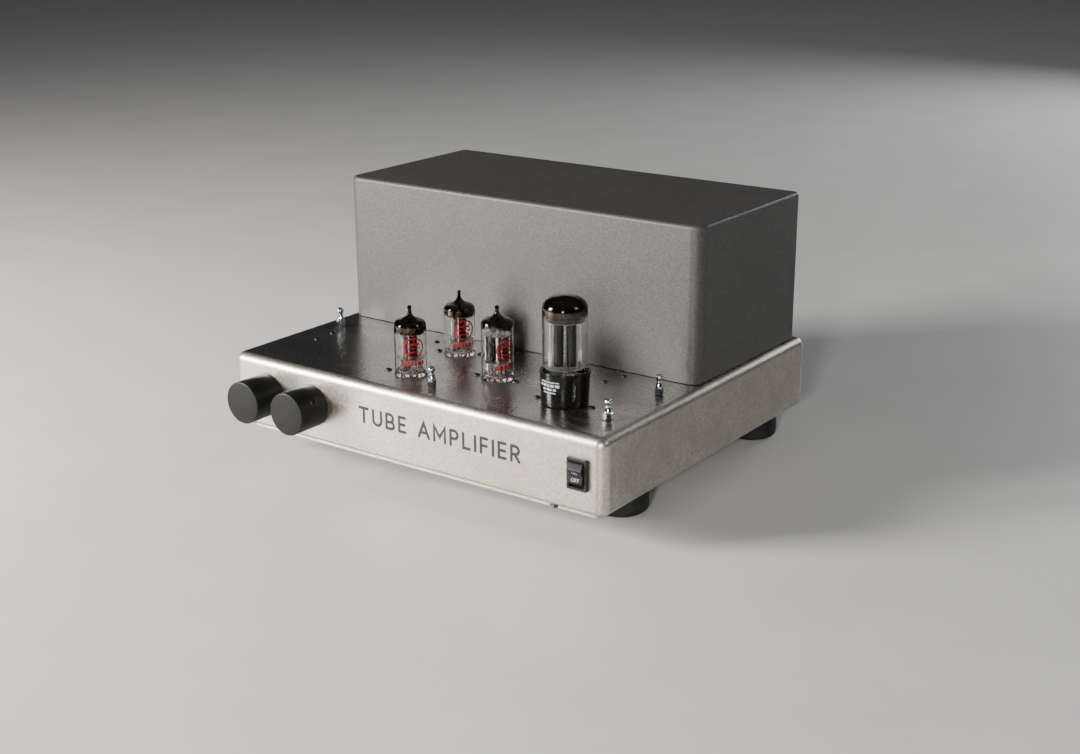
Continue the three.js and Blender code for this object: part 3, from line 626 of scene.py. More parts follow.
# ---- chassis, bottom cover, transformer cover ----
def window(x, face, size):
    """Cutter of a square opening in a panel, round the body of a part that passes through."""
    across, up = (length / 2 + BODY_PLAY for length in size)
    return box((x - across, face - 5, CONTROL_Z - up), (x + across, face + 5, CONTROL_Z + up))


def folded_shell(node, look, corner, top_bend, foot_bend, lip, lip_corner, steps):
    """Hollow box of folded sheet, and the cutter that opens its foot inside a turned-in lip."""
    (x0, y0, low), (x1, y1, high) = node_box(node)
    width, depth, centre = x1 - x0, y1 - y0, (y0 + y1) / 2
    inner = tuple(radius - SHEET for radius in corner)
    outside = folded_box(width, depth, low, high, corner, top_bend, foot_bend).move(0, centre, 0)
    inside = folded_box(width - 2 * SHEET, depth - 2 * SHEET, low + SHEET, high - SHEET, inner,
                        top_bend - SHEET, max(foot_bend - SHEET, 0.2), steps)
    shell = piece(f"{node}_shell", outside, look, stands_for=[node], flat=True)
    carve(shell, inside.move(0, centre, 0))
    opening = rounded_outline(width, depth, lip_corner, steps, lip)
    return shell, prism(opening, low - 1, low + SHEET + 1).move(0, centre, 0)


def make_chassis():
    shell, cutters = folded_shell("chassis", STEEL, CHASSIS_CORNERS, TOP_BEND, BOTTOM_BEND, FLANGE, 4, 4)
    tubes = [(SMALL_HOLE, tube) for tube in SMALL_TUBES.values()] + [(POWER_HOLE, POWER_TUBE)]
    for radius, tube in tubes:
        cutters.add(rod(radius, TOP - SHEET - 1, TOP + 1, 48).move(tube.x, tube.y, 0))

    def holes(radius, places, face):
        for place in places:
            cutters.add(facing_front(rod(radius, -5, 5, 40)).move(place.x, face, CONTROL_Z))

    holes(SHAFT_HOLE, [middle("volume_knob"), middle("selector_knob")], FRONT)
    cutters.add(window(SWITCH_X, FRONT, SWITCH_BODY), window(middle("mains_inlet").x, BACK, INLET_BODY))
    holes(JACK_HOLE, JACKS.values(), BACK)
    holes(POST_HOLE, POSTS.values(), BACK)
    carve(shell, cutters)


def make_transformer_cover():
    bends = COVER_TOP_BEND, COVER_FOOT_BEND
    carve(*folded_shell("transformer_cover", POWDER, COVER_CORNERS, *bends, COVER_LIP, 3, 3))


def make_bottom_cover():
    """Shallow tray with a grooved rim, a notch near each corner, and a fixing in each notch."""
    width, depth = PAN_HIGH.x - PAN_LOW.x, PAN_HIGH.y - PAN_LOW.y
    low, high, centre = PAN_LOW.z, PAN_HIGH.z, (PAN_LOW.y + PAN_HIGH.y) / 2
    groove_low, groove_high, groove_depth, soft = high - SHEET - 1.2, high - SHEET + 0.1, 1.4, 0.3
    notch, notch_x, notch_ys = 3.0, 117, (-103, 105)

    def layer(height, inset):
        return height, rounded_outline(width, depth, max(3 - inset, 0.4), 6, inset)

    def edge(height, way, inset):
        """Rounded edge that starts at this height and inset and ends flush, above (1) or below (-1) it."""
        return [layer(height + way * soft * t, i) for t, i in ((0, inset), (0.3, soft * 0.3), (1, 0))]

    def spots(inset):
        front = [(x, PAN_LOW.y + inset) for x in (-notch_x, notch_x)]
        return front + [(side * (PAN_HIGH.x - inset), y) for side in (-1, 1) for y in notch_ys]

    rims = edge(low, 1, soft), edge(groove_low, -1, groove_depth)[::-1]
    rims += edge(groove_high, 1, groove_depth), edge(high, -1, soft)[::-1]
    shape = stack([ring for rim in rims for ring in rim]).move(0, centre, 0)
    tray = piece("bottom_tray", shape, STEEL, stands_for=["bottom_cover"], flat=True)
    hollow = rounded_outline(width, depth, 3, 4, 2 * SHEET)
    carve(tray, prism(hollow, low + SHEET, high + 1).move(0, centre, 0))
    front, sides = spots(0)[:2], [(x, y) for y in notch_ys for x in (PAN_LOW.x, PAN_HIGH.x)]
    cutters = box((-notch, -1, low - 1), (notch, 4, high + 1)).at(front)
    carve(tray, cutters.add(box((-4, -notch, low - 1), (4, notch, high + 1)).at(sides)))
    screw = screw_head(3.0, 1.6).turn("X", 180).move(0, 0, low)
    clip = rod(1.5, low - 0.7, high - 0.1, edge=0.4)
    piece("bottom_cover_screws", screw.at(spots(9)), BLACK_OXIDE)
    piece("bottom_cover_clips", clip.at(spots(2)), BLACK_OXIDE)


def screw_head(radius, height):
    """Domed cap screw head with a hexagon socket, its underside at z = 0."""
    socket = radius * 0.45
    dome = [(radius * math.cos(a), height * (0.35 + 0.65 * math.sin(a)))
            for a in (math.radians(t) for t in range(0, 61, 12))]
    profile = [(0, 0), (radius * 0.96, 0), (radius, height * 0.12), *dome, (socket * 1.2, height)]
    profile += [(socket, height * 0.9), (socket, height * 0.35), (0, height * 0.25)]
    return lathe(profile, 36, {len(profile) - 2, len(profile) - 3})


def make_deck_screws():
    beside = [(tube, spot) for number, tube in SMALL_TUBES.items() for spot in TUBE_FORM[number][-1]]
    beside += [(POWER_TUBE, spot) for spot in POWER_SCREWS]
    sockets = [(tube.x + x, tube.y + y) for tube, (x, y) in beside]
    piece("socket_screws", screw_head(2.3, 1.1).move(0, 0, TOP + 0.05).at(sockets), BLACK_OXIDE)
    piece("deck_screws", screw_head(2.1, 0.9).move(0, 0, TOP + 0.05).at(DECK_SCREWS), BLACK_OXIDE)


def make_feet():
    hole, seat, sole, round_edge = 2.3, 11, 5.4, 4
    for node in (f"foot_{end}_{side}" for side in ("left", "right") for end in ("front", "back")):
        low, high = node_box(node)
        radius, height, centre = (high.x - low.x) / 2, high.z, middle(node)
        wall = [(sole, 0.4), (sole + 0.4, 0), *arc(radius - round_edge, round_edge, round_edge, -90, 0, 8)]
        wall += [(radius, height - 0.8), (radius - 0.7, height)]
        hollow = [(hole, height), (hole, seat), (5, seat), (5.0, 0.9), (sole, 0.4)]
        foot = lathe([*wall, *hollow], 64).move(centre.x, centre.y, 0)
        piece(f"{node}_rubber", foot, RUBBER, stands_for=[node])
        washer = lathe([(2.4, 10.75), (4.7, 10.75), (4.7, seat), (2.4, seat), (2.4, 10.75)], 40)
        bolt = screw_head(3.6, 2.4).turn("X", 180).move(centre.x, centre.y, seat - 0.3)
        bolt.add(washer.move(centre.x, centre.y, -0.05))
        piece(f"{node}_screw", bolt, ZINC, slot="steel")


def make_studs():
    """Ball studs that a wire cage clips on to."""
    hexagon = [(0, 0.3), (2.55, 0.3), (2.8, 0.55), (2.8, 4.75), (2.6, 5.0), (0, 5.0)]
    neck = [(0, 4.9), (2.6, 4.95), (2.65, 5.2), (2.3, 6.4), (1.9, 7.8), (1.65, 9.0), (1.6, 9.8)]
    ball = arc(0, 12.05, 2.55, -48, 90, 14)[:-1]
    for number in (1, 2, 3, 4):
        node = f"cage_stud_{number}"
        shape = lathe(hexagon, 48, {1, 2, 3, 4})
        shape.add(lathe([*neck, *ball, (0, 14.6)], 40), rod(1.4, -7, 0.4, 16))
        at = (middle(node).x, middle(node).y, TOP)
        piece(f"{node}_chrome", shape.turn("Z", 12 + 31 * number), CHROME, ROOT, [node], at)


# ---- sockets, below the deck ----
def make_socket(name, tube, body, bores, ring, reach):
    """Moulded socket with its bores, in a plated ring with two ears that clamps it under the deck."""
    at = (tube.x, tube.y, TOP)
    carve(piece(f"{name}_body", body, BAKELITE, ROOT, [name], at), bores.move(*at))
    side = arc(0, 0, ring + 2.6, 25, 155, 12)
    ears = arc(-reach, 0, 4, 90, 270, 8), arc(reach, 0, 4, -90, 90, 8)
    outline = [*side, *ears[0], *[(-x, -y) for x, y in side], *ears[1]]
    saddle = piece(f"{name}_saddle", prism(outline, -3.1, -1.9), ZINC, ROOT, (), at, slot="bakelite")
    carve(saddle, rod(ring, -6, 0, 48).move(*at))


def make_sockets():
    for number, tube in SMALL_TUBES.items():
        bores = rod(0.85, -12, 2, 12).around(SMALL_PINS, SMALL_PIN_CIRCLE).add(rod(1.6, -20, 2, 16))
        make_socket(f"noval_socket_{number}", tube, rod(10.3, -17, -1.9, 48, edge=0.4), bores, 10.6, 15.4)
    bores = rod(1.5, -14, 3, 16).around(POWER_PINS, POWER_PIN_CIRCLE).add(rod(4.4, -20, 3, 32))
    make_socket("octal_socket", POWER_TUBE, rod(13.6, -17, 0, 64, edge=0.4), bores, 13.9, 20.0)


# ---- small tubes ----
SMALL_CENTRE = TUBE_RADIUS - TUBE_SHOULDER  # radius at which the shoulder's arc is centred


def small_envelope(crown, tip):
    """One glass wall from the pressed button up to the sealed tip, round a hollow of its own."""
    wall_side, shoulder = TUBE_RADIUS - TUBE_WALL, (SMALL_CENTRE, crown - TUBE_SHOULDER)
    outer = [(0, TUBE_SEAT), (8.2, TUBE_SEAT), *arc(8.9, TUBE_SEAT + 2.1, 2.1, -90, 0, 6)]
    outer += [(TUBE_RADIUS, 20), *arc(*shoulder, TUBE_SHOULDER, 0, 72, 9)]
    neck = [(6.6, 0.1), (5.4, 0.45), (4.3, 1.0), (3.3, 1.7), (2.5, 2.5), (1.9, 3.4), (1.5, 4.4)]
    ball = [(1.25, -3.2), (1.25, -2.7), (1.6, -2.1), (1.75, -1.4), (1.55, -0.7), (1.05, -0.2)]
    outer += [*raised(neck, crown), *raised(ball, tip), (0.5, tip - 0.03), (0, tip)]
    inside = raised([(0, 2.6), (1.2, 2.2), (2.2, 1.2), (3.6, 0.2), (5.2, -0.45)], crown)
    inside += arc(*shoulder, TUBE_SHOULDER - TUBE_WALL, 78, 0, 9)
    inside += [(wall_side, 20), (wall_side, 3.2), (9.5, 2.1), (8.2, 1.5), (0, 1.2)]
    return lathe(outer, 80).add(lathe(inside, 80))


def skin(outside, sides):
    """Thin skin under a profile, buried in the glass, so that the wall shows no clear rim outside it."""
    inside = [(max(radius - MIRROR_SKIN, 0.02), z - MIRROR_SKIN) for radius, z in outside]
    return lathe([*outside, *inside[::-1], outside[0]], sides)


def small_mirror(crown, tip, low):
    radius = TUBE_RADIUS - MIRROR_GAP
    outside = [(radius, low - 2), (radius, crown - 5)]
    outside += arc(SMALL_CENTRE, crown - TUBE_SHOULDER, TUBE_SHOULDER - MIRROR_GAP, 0, 74, 9)
    neck = [(6.3, -0.25), (5.3, 0.05), (4.1, 0.65), (3.0, 1.4), (2.2, 2.2), (1.6, 3.1), (1.2, 4.1)]
    ball = [(0.95, -3.2), (0.95, -2.7), (1.3, -2.1), (1.45, -1.4), (1.25, -0.85), (0.75, -0.5)]
    return skin([*outside, *raised(neck, crown), *raised(ball, tip), (0.02, tip - 0.35)], 72)


def toothed_discs(radius, spans, teeth=12):
    outline = []
    for i in range(teeth * 4):
        reach = radius if i % 4 < 2 else radius - 0.7
        angle = 2 * math.pi * (i + 0.5 * (i % 2)) / (teeth * 4)
        outline.append((reach * math.cos(angle), reach * math.sin(angle)))
    return Shape().add(*(prism(outline, low, high) for low, high in spans))


def anode(width, depth, low, high):
    """Plate pressed from sheet: a flattened box with a rib down each broad side and crimped seams."""
    x, y, rib, corner, seam = width / 2, depth / 2, 0.7, 1.2, 0.25
    half = [
        *arc(x - corner, y - corner, corner, 0, 90, 4),
        (rib + 0.5, y), (rib, y + 0.4), (-rib, y + 0.4), (-rib - 0.5, y),
        *arc(corner - x, y - corner, corner, 90, 180, 4), (-x - 0.7, seam), (-x - 0.7, -seam),
    ]
    last = [(-px, -py) for px, py in half]
    return prism(half + last, low, high)


def small_wires(crown, low, high):
    """Pins, their bent leads, the rods through the micas and the getter ring."""
    pin = [(0, -8.4), (0.25, -8.3), (0.5, -7.9), (0.5, -1.0), (0, -1.0)]
    up = Vector((0, 0, 1))
    shape = Shape()
    for number, degrees in enumerate(SMALL_PINS):
        angle = math.radians(degrees)
        foot = Vector((math.cos(angle), math.sin(angle), 0)) * SMALL_PIN_CIRCLE
        shape.add(lathe(pin, 12).move(foot.x, foot.y, 0))
        across, along = 0.45 + 0.2 * (number % 3), 0.5 + 0.15 * (number % 2)
        inward = Vector((foot.x * across, foot.y * along, low - 1.4))
        bend = foot * 1.12 + up * (4.6 + 0.5 * (number % 2))
        path = [foot + up * 3, bend, (foot + inward) / 2 + up * 3, inward, inward + up * 2]
        shape.add(wire(smooth_path(path, 5), 0.36))
        tab = box((-0.8, -0.14, 4.4), (0.8, 0.14, low - 3.6 + number % 3)).turn("Z", 70)
        shape.add(tab.move(7.0, 0, 0).turn("Z", degrees + 20))
    beside = [(x, y) for x, _ in SMALL_ANODES for y in (-1.9, 1.9)]
    posts = ((-8.3, 2.2), (8.3, -2.2), (0, 5.6), (0, -5.6), (0.9, 0))
    shape.add(rod(0.55, low - 2.4, high + 3.2, 12).at(SMALL_ANODES))
    shape.add(rod(0.32, low - 2, high + 2.6, 10).at(beside), rod(0.3, low - 1.8, high + 1.6, 10).at(posts))
    ring = crown - 4
    shape.add(box((-0.8, -0.25, high + 0.6), (0.8, 0.25, ring)))
    return shape.add(loop(3.3, ring, 0.45), box((-3.4, -0.3, ring - 0.3), (3.4, 0.3, ring + 0.2)))


def small_beads():
    """Glass drawn up round each pin where it comes through the button, in a lumpy ring."""
    bead = lathe([(0, 1.25), (1.7, 1.25), (1.6, 2.0), (1.1, 3.0), (0.75, 3.8), (0.62, 4.1), (0, 4.1)], 18)
    rim = [(7.9, 1.25), (9.7, 2.0), (10.0, 3.0), (9.5, 3.5), (8.6, 2.7), (7.9, 1.25)]
    return bead.around(SMALL_PINS, SMALL_PIN_CIRCLE).add(lathe(rim, 60))


def wrapped(shape, radius):
    """Bends artwork drawn flat in the XZ plane round a tube whose front is at -Y."""

    def bend(point):
        reach, angle = radius - point.y, point.x / radius
        return reach * math.sin(angle), -reach * math.cos(angle), point.z

    return shape.bend(bend)


def stroke(points, width):
    """Flat painted line through points of the XZ plane, made of short closed slabs."""
    shape = Shape()
    for start, end in zip(map(Vector, points), map(Vector, points[1:])):
        way = end - start
        side = Vector((-way.y, way.x)).normalized() * width / 2
        pieces = max(1, round(way.length / 0.8))
        for i in range(pieces):
            a, b = start + way * (i / pieces), start + way * ((i + 1) / pieces)
            corners = [a + side, a - side, b - side, b + side]
            slab = Shape([(x, 0, z) for x, z in corners] + [(x, -INK_THICKNESS, z) for x, z in corners])
            slab.faces = [[0, 1, 2, 3], [7, 6, 5, 4]]
            slab.faces += [[i, i + 4, (i + 1) % 4 + 4, (i + 1) % 4] for i in range(4)]
            shape.add(slab)
    return shape


def triode_symbol(size):
    """The textbook sign for a triode: anode bar, dashed grid and cathode inside a round envelope."""
    half = size / 2
    lines = [(1.5, [(-0.52, 0.36), (0.52, 0.36)]), (1.0, [(0, 0.4), (0, 0.95)])]
    lines += [(1.0, [(start, -0.04), (start + 0.36, -0.04)]) for start in (-0.7, -0.2, 0.3)]
    lines += [(1.2, [(-0.5, -0.7), (-0.5, -0.46), (0.5, -0.46)])]
    shape = stroke(arc(0, 0, half, 0, 360, 48), 1.15)
    return shape.add(*(stroke([(x * half, z * half) for x, z in points], width) for width, points in lines))


def dashes(lengths, gap, width, z):
    shape = Shape()
    x = -(sum(lengths) + gap * (len(lengths) - 1)) / 2
    for length in lengths:
        shape.add(stroke([(x, z), (x + length, z)], width))
        x += length + gap
    return shape


def make_small_tubes():
    for number, tube in SMALL_TUBES.items():
        body = f"small_tube_{number}"
        crown, (low, high), edge, turn, print_turn, _ = TUBE_FORM[number]
        tip = node_box(f"{body}_glass")[1].z - TOP
        part = part_maker(body, (tube.x, tube.y, TOP))
        part("envelope", small_envelope(crown, tip), GLASS, [f"{body}_glass", f"{body}_stem"])
        mirror = getter_mirror(f"getter_mirror_{number}", TOP + edge, 2.5)
        part("mirror", small_mirror(crown, tip, edge), mirror)
        plates = anode(5.6, 7.0, low, high).at(SMALL_ANODES)
        part("plates", plates.turn("Z", turn), GREY_PLATE, [f"{body}_electrodes"])
        micas = toothed_discs(9.7, ((low - 1.1, low - 0.75), (high + 0.6, high + 0.95)))
        part("micas", micas.turn("Z", turn), MICA, bevel=0.06)
        part("wires", small_wires(crown, low, high).turn("Z", turn), NICKEL)
        part("beads", small_beads().turn("Z", turn), PRESSED_GLASS)
        # Copper-clad wire where each pin is sealed into the glass.
        seals = rod(0.55, -0.9, 4.4, 12, edge=0.15).around(SMALL_PINS, SMALL_PIN_CIRCLE)
        part("seals", seals.turn("Z", turn), COPPER)
        sign = triode_symbol(13.4).move(0, 0, (low + high) / 2 + 0.6)
        sign.add(dashes([1.5, 2.6, 1.5, 1.5, 2.6, 1.5], 0.7, 3.0, low - 2.6))
        part("print", wrapped(sign, TUBE_RADIUS + 0.01).turn("Z", print_turn), RED_INK)


# ---- power tube ----
POWER_CENTRE = (POWER_RADIUS - POWER_SHOULDER, POWER_CROWN - POWER_SHOULDER)  # of the shoulder's arc
POWER_DOME = [(6.2, 0.12), (4.2, 0.6), (2.1, 0.9)]


def power_envelope():
    wall_side, dome = POWER_RADIUS - POWER_WALL, [*POWER_DOME, (0, 1.0)]
    outer = [(0, 17), (11, 17), (13.8, 18.4), (POWER_RADIUS, 20.5), (POWER_RADIUS, 40)]
    outer += arc(*POWER_CENTRE, POWER_SHOULDER, 0, 78, 12) + raised(dome, POWER_CROWN)
    inside = raised(dome[::-1], POWER_CROWN - POWER_WALL)
    inside += arc(*POWER_CENTRE, POWER_SHOULDER - POWER_WALL, 78, 0, 12)
    inside += [(wall_side, 40), (wall_side, 21.5), (12.8, 19.6), (0, 18.6)]
    return lathe(outer, 88).add(lathe(inside, 88))


def power_mirror():
    radius = POWER_RADIUS - MIRROR_GAP
    outside = [(radius, POWER_MIRROR - 4), (radius, POWER_CROWN - POWER_SHOULDER - 0.5)]
    outside += arc(*POWER_CENTRE, POWER_SHOULDER - MIRROR_GAP, 0, 78, 12)
    return skin(outside + raised([*POWER_DOME, (0.02, 1.0)], POWER_CROWN - MIRROR_GAP), 80)


def power_base():
    """Moulded base: a slightly flared skirt with a rolled rim and a cup for the glass."""
    low, high, foot, rim = BASE_LOW, BASE_HIGH, BASE_FOOT, BASE_RIM
    profile = [
        (0, foot), (low - 0.9, foot), *arc(low - 0.6, foot + 0.6, 0.6, -90, 0, 4), (low + 0.25, foot + 6),
        (low + 0.8, rim - 4), (high - 0.1, rim - 2.3), (high, rim - 1.9), (high, rim - 0.6),
        *arc(high - 0.5, rim - 0.5, 0.5, 0, 90, 4), (15.4, rim), (15.1, rim - 0.3),
        (15.0, rim - 1.2), (15.0, 17.2), (10, 16), (0, 16),
    ]
    return lathe(profile, 96)


def flattened_tube(width, depth, low, high):
    """Anode of the power tube: two half shells crimped together, ribbed down the middle."""
    radius = width / 2
    flat = depth / 2 - radius
    shape = prism([*arc(0, flat, radius, 0, 180, 12), *arc(0, -flat, radius, 180, 360, 12)], low, high)
    for side in (-1, 1):
        y = side * depth / 2
        rib = [(-0.55, y - 0.35), (0.55, y - 0.35), (0.4, y + 0.35), (-0.4, y + 0.35)]
        shape.add(prism(rib[::side], low + 1, high - 1))
    return shape


def power_wires():
    """Rods through the micas, side straps, leads down to the base and two getter rings."""
    low, high = POWER_PLATES
    beside = [(x, y) for x, _ in POWER_ANODES for y in (-2.4, 2.4)]
    straps = ((-9.6, -2.0), (9.6, 2.0))
    shape = rod(0.6, low - 1.5, high + 2, 16).add(rod(0.8, low - 1.6, high + 4.0, 14).at(POWER_ANODES))
    shape.add(rod(0.4, low - 1, high + 3, 10).at(beside))
    shape.add(rod(0.45, low - 3, high + 1.5, 12).at((*straps, (-9.0, 4.5))))
    shape.add(box((-1.0, -0.2, low), (1.0, 0.2, low + 9)).at(straps))
    for degrees in POWER_PINS:
        across, along = math.cos(math.radians(degrees)), math.sin(math.radians(degrees))
        start = Vector((5.0 * across, 3.0 * along, 20))
        end = Vector((8.4 * across, 5.4 * along, low - 0.6))
        shape.add(wire(smooth_path([start, (start + end) / 2 + Vector((0, 0, 0.6)), end], 4), 0.4))
    ring = loop(2.6, high + 4.4, 0.5, 24).add(rod(0.35, high, high + 4.4, 8).move(2.4, 0, 0))
    return shape.add(ring.at(((-6.2, 0), (6.2, 0))))


def make_power_tube():
    low, high = POWER_PLATES
    part = part_maker("power_tube", (POWER_TUBE.x, POWER_TUBE.y, TOP))
    part("envelope", power_envelope(), GLASS, ["power_tube_glass"])
    part("mirror", power_mirror(), getter_mirror("getter_mirror_power", TOP + POWER_MIRROR, 2))
    plates = flattened_tube(6.2, 9.6, low + 0.2, high - 0.2).at(POWER_ANODES)
    part("plates", plates.turn("Z", POWER_TURN), BLACK_PLATE, ["power_tube_electrodes"])
    micas = toothed_discs(13.2, ((low - 0.9, low - 0.5), (high + 0.4, high + 0.8)), 16)
    part("micas", micas.turn("Z", POWER_TURN), MICA, bevel=0.06)
    part("wires", power_wires().turn("Z", POWER_TURN), NICKEL)
    part("stem", lathe([(0, 18.4), (6.5, 18.4), (5.6, 19.2), (5.3, 21), (4.8, 22.3), (0, 22.6)], 40), GLASS)
    part("skirt", power_base(), BAKELITE, ["power_tube_base"])
    key = [(0, -12.7), (3.0, -12.7), (3.95, -11.3), (3.95, BASE_FOOT + 0.6), (0, BASE_FOOT + 0.6)]
    part("key", lathe(key, 40), BAKELITE)
    top = BASE_FOOT + 0.7
    pin = lathe([(0, -10.7), (0.7, -10.5), (1.05, -9.8), (1.18, -8.9), (1.18, top), (0, top)], 20)
    part("pins", pin.around(POWER_PINS, POWER_PIN_CIRCLE), NICKEL)
    label = dashes([14.5], 0, 0.7, 17.6).add(dashes([1.5, 3.0, 1.5, 2.4, 3.0], 0.8, 1.7, 15.4))
    label.add(dashes([2.2, 4.2, 2.2], 0.8, 1.2, 12.8), dashes([9.5], 0, 0.7, 10.6))
    part("print", wrapped(label, BASE_HIGH + 0.02).turn("Z", -3), WHITE_INK)


# ---- front controls ----
def make_knob(node, body, screw_angle):
    """Turned knob with a set screw in its side, so many degrees round from the right."""
    radius, length, back, bore, screw_along = 15.0, 25.398, 0.45, 3.3, 11.598
    at = (middle(node).x, FRONT, CONTROL_Z)
    profile = [(0, length - 6), (bore, length - 6), (bore, back + 4.5), (8.5, back + 4.5), (8.5, back)]
    profile += [(radius - 0.4, back), (radius, back + 0.4), (radius, length - 0.55)]
    profile += [(radius - 0.15, length - 0.25), (radius - 0.55, length - 0.05), (radius - 0.8, length)]
    profile += [(0, length)]
    made = piece(f"{node}_turned", facing_front(lathe(profile, 96)), ANODISED, body, [node], at)
    screw_at = (at[0], FRONT - screw_along, CONTROL_Z)
    carve(made, rod(2.0, 6, 17, 32).turn("Y", 90).turn("Y", -screw_angle).move(*screw_at))
    grub = [(0, 6.5), (1.9, 6.5), (1.9, 12.9), (1.6, 13.2), (0.95, 13.2), (0.95, 11.2), (0, 11.0)]
    screw = lathe(grub, 36, {4, 5}).turn("Y", 90).turn("Y", -screw_angle)
    piece(f"{node}_set_screw", screw, CHROME, body, (), screw_at)


ROCKER_TILT, ROCKER_BACK = 10, 2.6  # resting tilt, and how far its pivot is behind the bezel's face
WINDOW_X, WINDOW_Z = 5.7, 8.75  # half the opening that the rocker moves in


def rocker_profile():
    """Side view of the rocker as (y, z) about its pivot: two crests with a valley between them."""
    side, crest, crest_out, valley_out = 8.25, 4.6, -5.1, -3.6
    upper = [(2.6, 5.4), (0.4, side - 0.05), (-1.3, side), (-2.1, side - 0.5)]
    upper += [(crest_out + y, crest + z) for y, z in ((0.7, 0.75), (0.15, 0.25), (0, -0.3), (0.1, -0.9))]
    valley = [(valley_out - 0.12, 0.7), (valley_out, 0), (valley_out - 0.12, -0.7)]
    return [*upper, *valley, *[(y, -z) for y, z in reversed(upper)]]


def make_power_switch():
    face = node_box("power_switch_housing")[0].y
    at, pivot = (SWITCH_X, face, CONTROL_Z), (SWITCH_X, face + ROCKER_BACK, CONTROL_Z)

    def rim(inset, corner):
        return rounded_outline(15, 21, corner, 5, inset)

    def opening(front, back):
        return box((-WINDOW_X, front, -WINDOW_Z), (WINDOW_X, back, WINDOW_Z)).move(*at)

    bezel = stack([(-2.2, rim(0, 0.9)), (-0.5, rim(0, 0.9)), (-0.15, rim(0.15, 0.8)), (0, rim(0.4, 0.6))])
    stands_for = ["power_switch_housing"]
    made = piece("power_switch_bezel", facing_front(bezel), BLACK_PLASTIC, ROOT, stands_for, at, flat=True)
    carve(made, opening(-1, 3))
    body = box((-6.7, 2.3, -9.4), (6.7, 24.4, 9.4)).move(*at)
    carve(piece("power_switch_body", body, BLACK_PLASTIC, bevel=0.3), opening(1, 8))
    blades = Shape().add(*(box((-2.4, 24.0, z - 0.4), (2.4, 32.4, z + 0.4)) for z in (-5, 5)))
    piece("power_switch_blades", blades, NICKEL, ROOT, (), at, slot="chrome")
    rock = prism([(z, -y) for y, z in rocker_profile()], -5.4, 5.4)
    rock.bend(lambda point: (point.z, -point.y, point.x)).turn("X", ROCKER_TILT)
    rock.faces = [face[::-1] for face in rock.faces]
    piece("rocker_cap", rock, ROCKER_PLASTIC, "power_rocker", ["power_rocker"], pivot, sharp=40, bevel=0.35)
    rocker_word("ON", 2.6, (-3.72, 0.75), (-5.02, 3.9), pivot)
    rocker_word("OFF", 3.4, (-5.17, -4.1), (-3.8, -0.9), pivot)


def rocker_word(word, size, low, high, pivot):
    """A word on a sloping face of the rocker, whose foot and head are given as (y, z) about its pivot."""
    name = f"rocker_{word.lower()}"
    curve = bpy.data.curves.new(name, "FONT")
    curve.body = word
    curve.size = size * MM
    curve.align_x = curve.align_y = "CENTER"
    curve.extrude = 0.03 * MM
    curve.resolution_u = 6
    holder = link(bpy.data.objects.new(name, curve))
    mesh = evaluated_mesh(holder)
    bpy.data.curves.remove(curve)  # and its holder with it
    slope = math.degrees(math.atan2(high[0] - low[0], high[1] - low[1]))
    centre = Vector((0, (low[0] + high[0]) / 2 - 0.05, (low[1] + high[1]) / 2)) * MM
    upright, lean = spin("X", 90, 4), spin("X", -slope, 4)
    mesh.transform(spin("X", ROCKER_TILT, 4) @ Matrix.Translation(centre) @ lean @ upright)
    mesh.transform(Matrix.Translation(Vector(pivot) * MM))
    made = link(bpy.data.objects.new(name, mesh))
    mesh.materials.append(WHITE_INK)
    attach(made, "power_rocker")


def pen_line(points, width, low, high):
    """Line of even width through points of the XZ plane, mitred at corners and round at both ends."""
    half = width / 2
    points = [Vector(point) for point in points]
    ways = [(end - start).normalized() for start, end in zip(points, points[1:])]
    left, right = [], []
    for number, point in enumerate(points):
        before, after = ways[max(number - 1, 0)], ways[min(number, len(ways) - 1)]
        way = (before + after).normalized()
        side = Vector((-way.y, way.x))
        side *= half / max(0.4, side.dot(Vector((-after.y, after.x))))
        left.append(point + side)
        right.append(point - side)
    head, tail = (math.degrees(math.atan2(way.y, way.x)) for way in (ways[-1], ways[0]))
    outline = [*right, *arc(*points[-1], half, head - 75, head + 75, 5)]
    outline += [*left[::-1], *arc(*points[0], half, tail + 105, tail + 255, 5)]
    return facing_front(prism(outline, low, high))


# Width and strokes of each capital, of height 1.
BOWL, FOOT_BOWL, STEM = 0.27, 0.2295, [(0, 0), (0, 1)]
UPPER = [(0, 1), *arc(0.58 - BOWL, 1 - BOWL, BOWL, 90, -90, 12), (0, 1 - 2 * BOWL)]
LOWER = [(0, 1 - 2 * BOWL), *arc(0.64 - FOOT_BOWL, FOOT_BOWL, FOOT_BOWL, 90, -90, 12), (0, 0)]
CAPITALS = {
    "T": (0.74, [[(0, 1), (0.74, 1)], [(0.37, 1), (0.37, 0)]]),
    "U": (0.7, [[(0, 1), *arc(0.35, 0.35, 0.35, 180, 360, 16), (0.7, 1)]]),
    "B": (0.64, [STEM, UPPER, LOWER]),
    "E": (0.52, [[(0.52, 1), (0, 1), (0, 0), (0.52, 0)], [(0, 0.5), (0.47, 0.5)]]),
    "A": (0.84, [[(0, 0), (0.42, 1), (0.84, 0)], [(0.16, 0.33), (0.68, 0.33)]]),
    "M": (0.9, [[(0, 0), (0, 1), (0.45, 0.3), (0.9, 1), (0.9, 0)]]),
    "P": (0.58, [STEM, UPPER]),
    "L": (0.5, [[(0, 1), (0, 0), (0.5, 0)]]),
    "I": (0, [STEM]),
    "F": (0.5, [[(0.5, 1), (0, 1), (0, 0)], [(0, 0.5), (0.45, 0.5)]]),
    "R": (0.6, [STEM, UPPER, [(0.26, 1 - 2 * BOWL), (0.6, 0)]]),
}


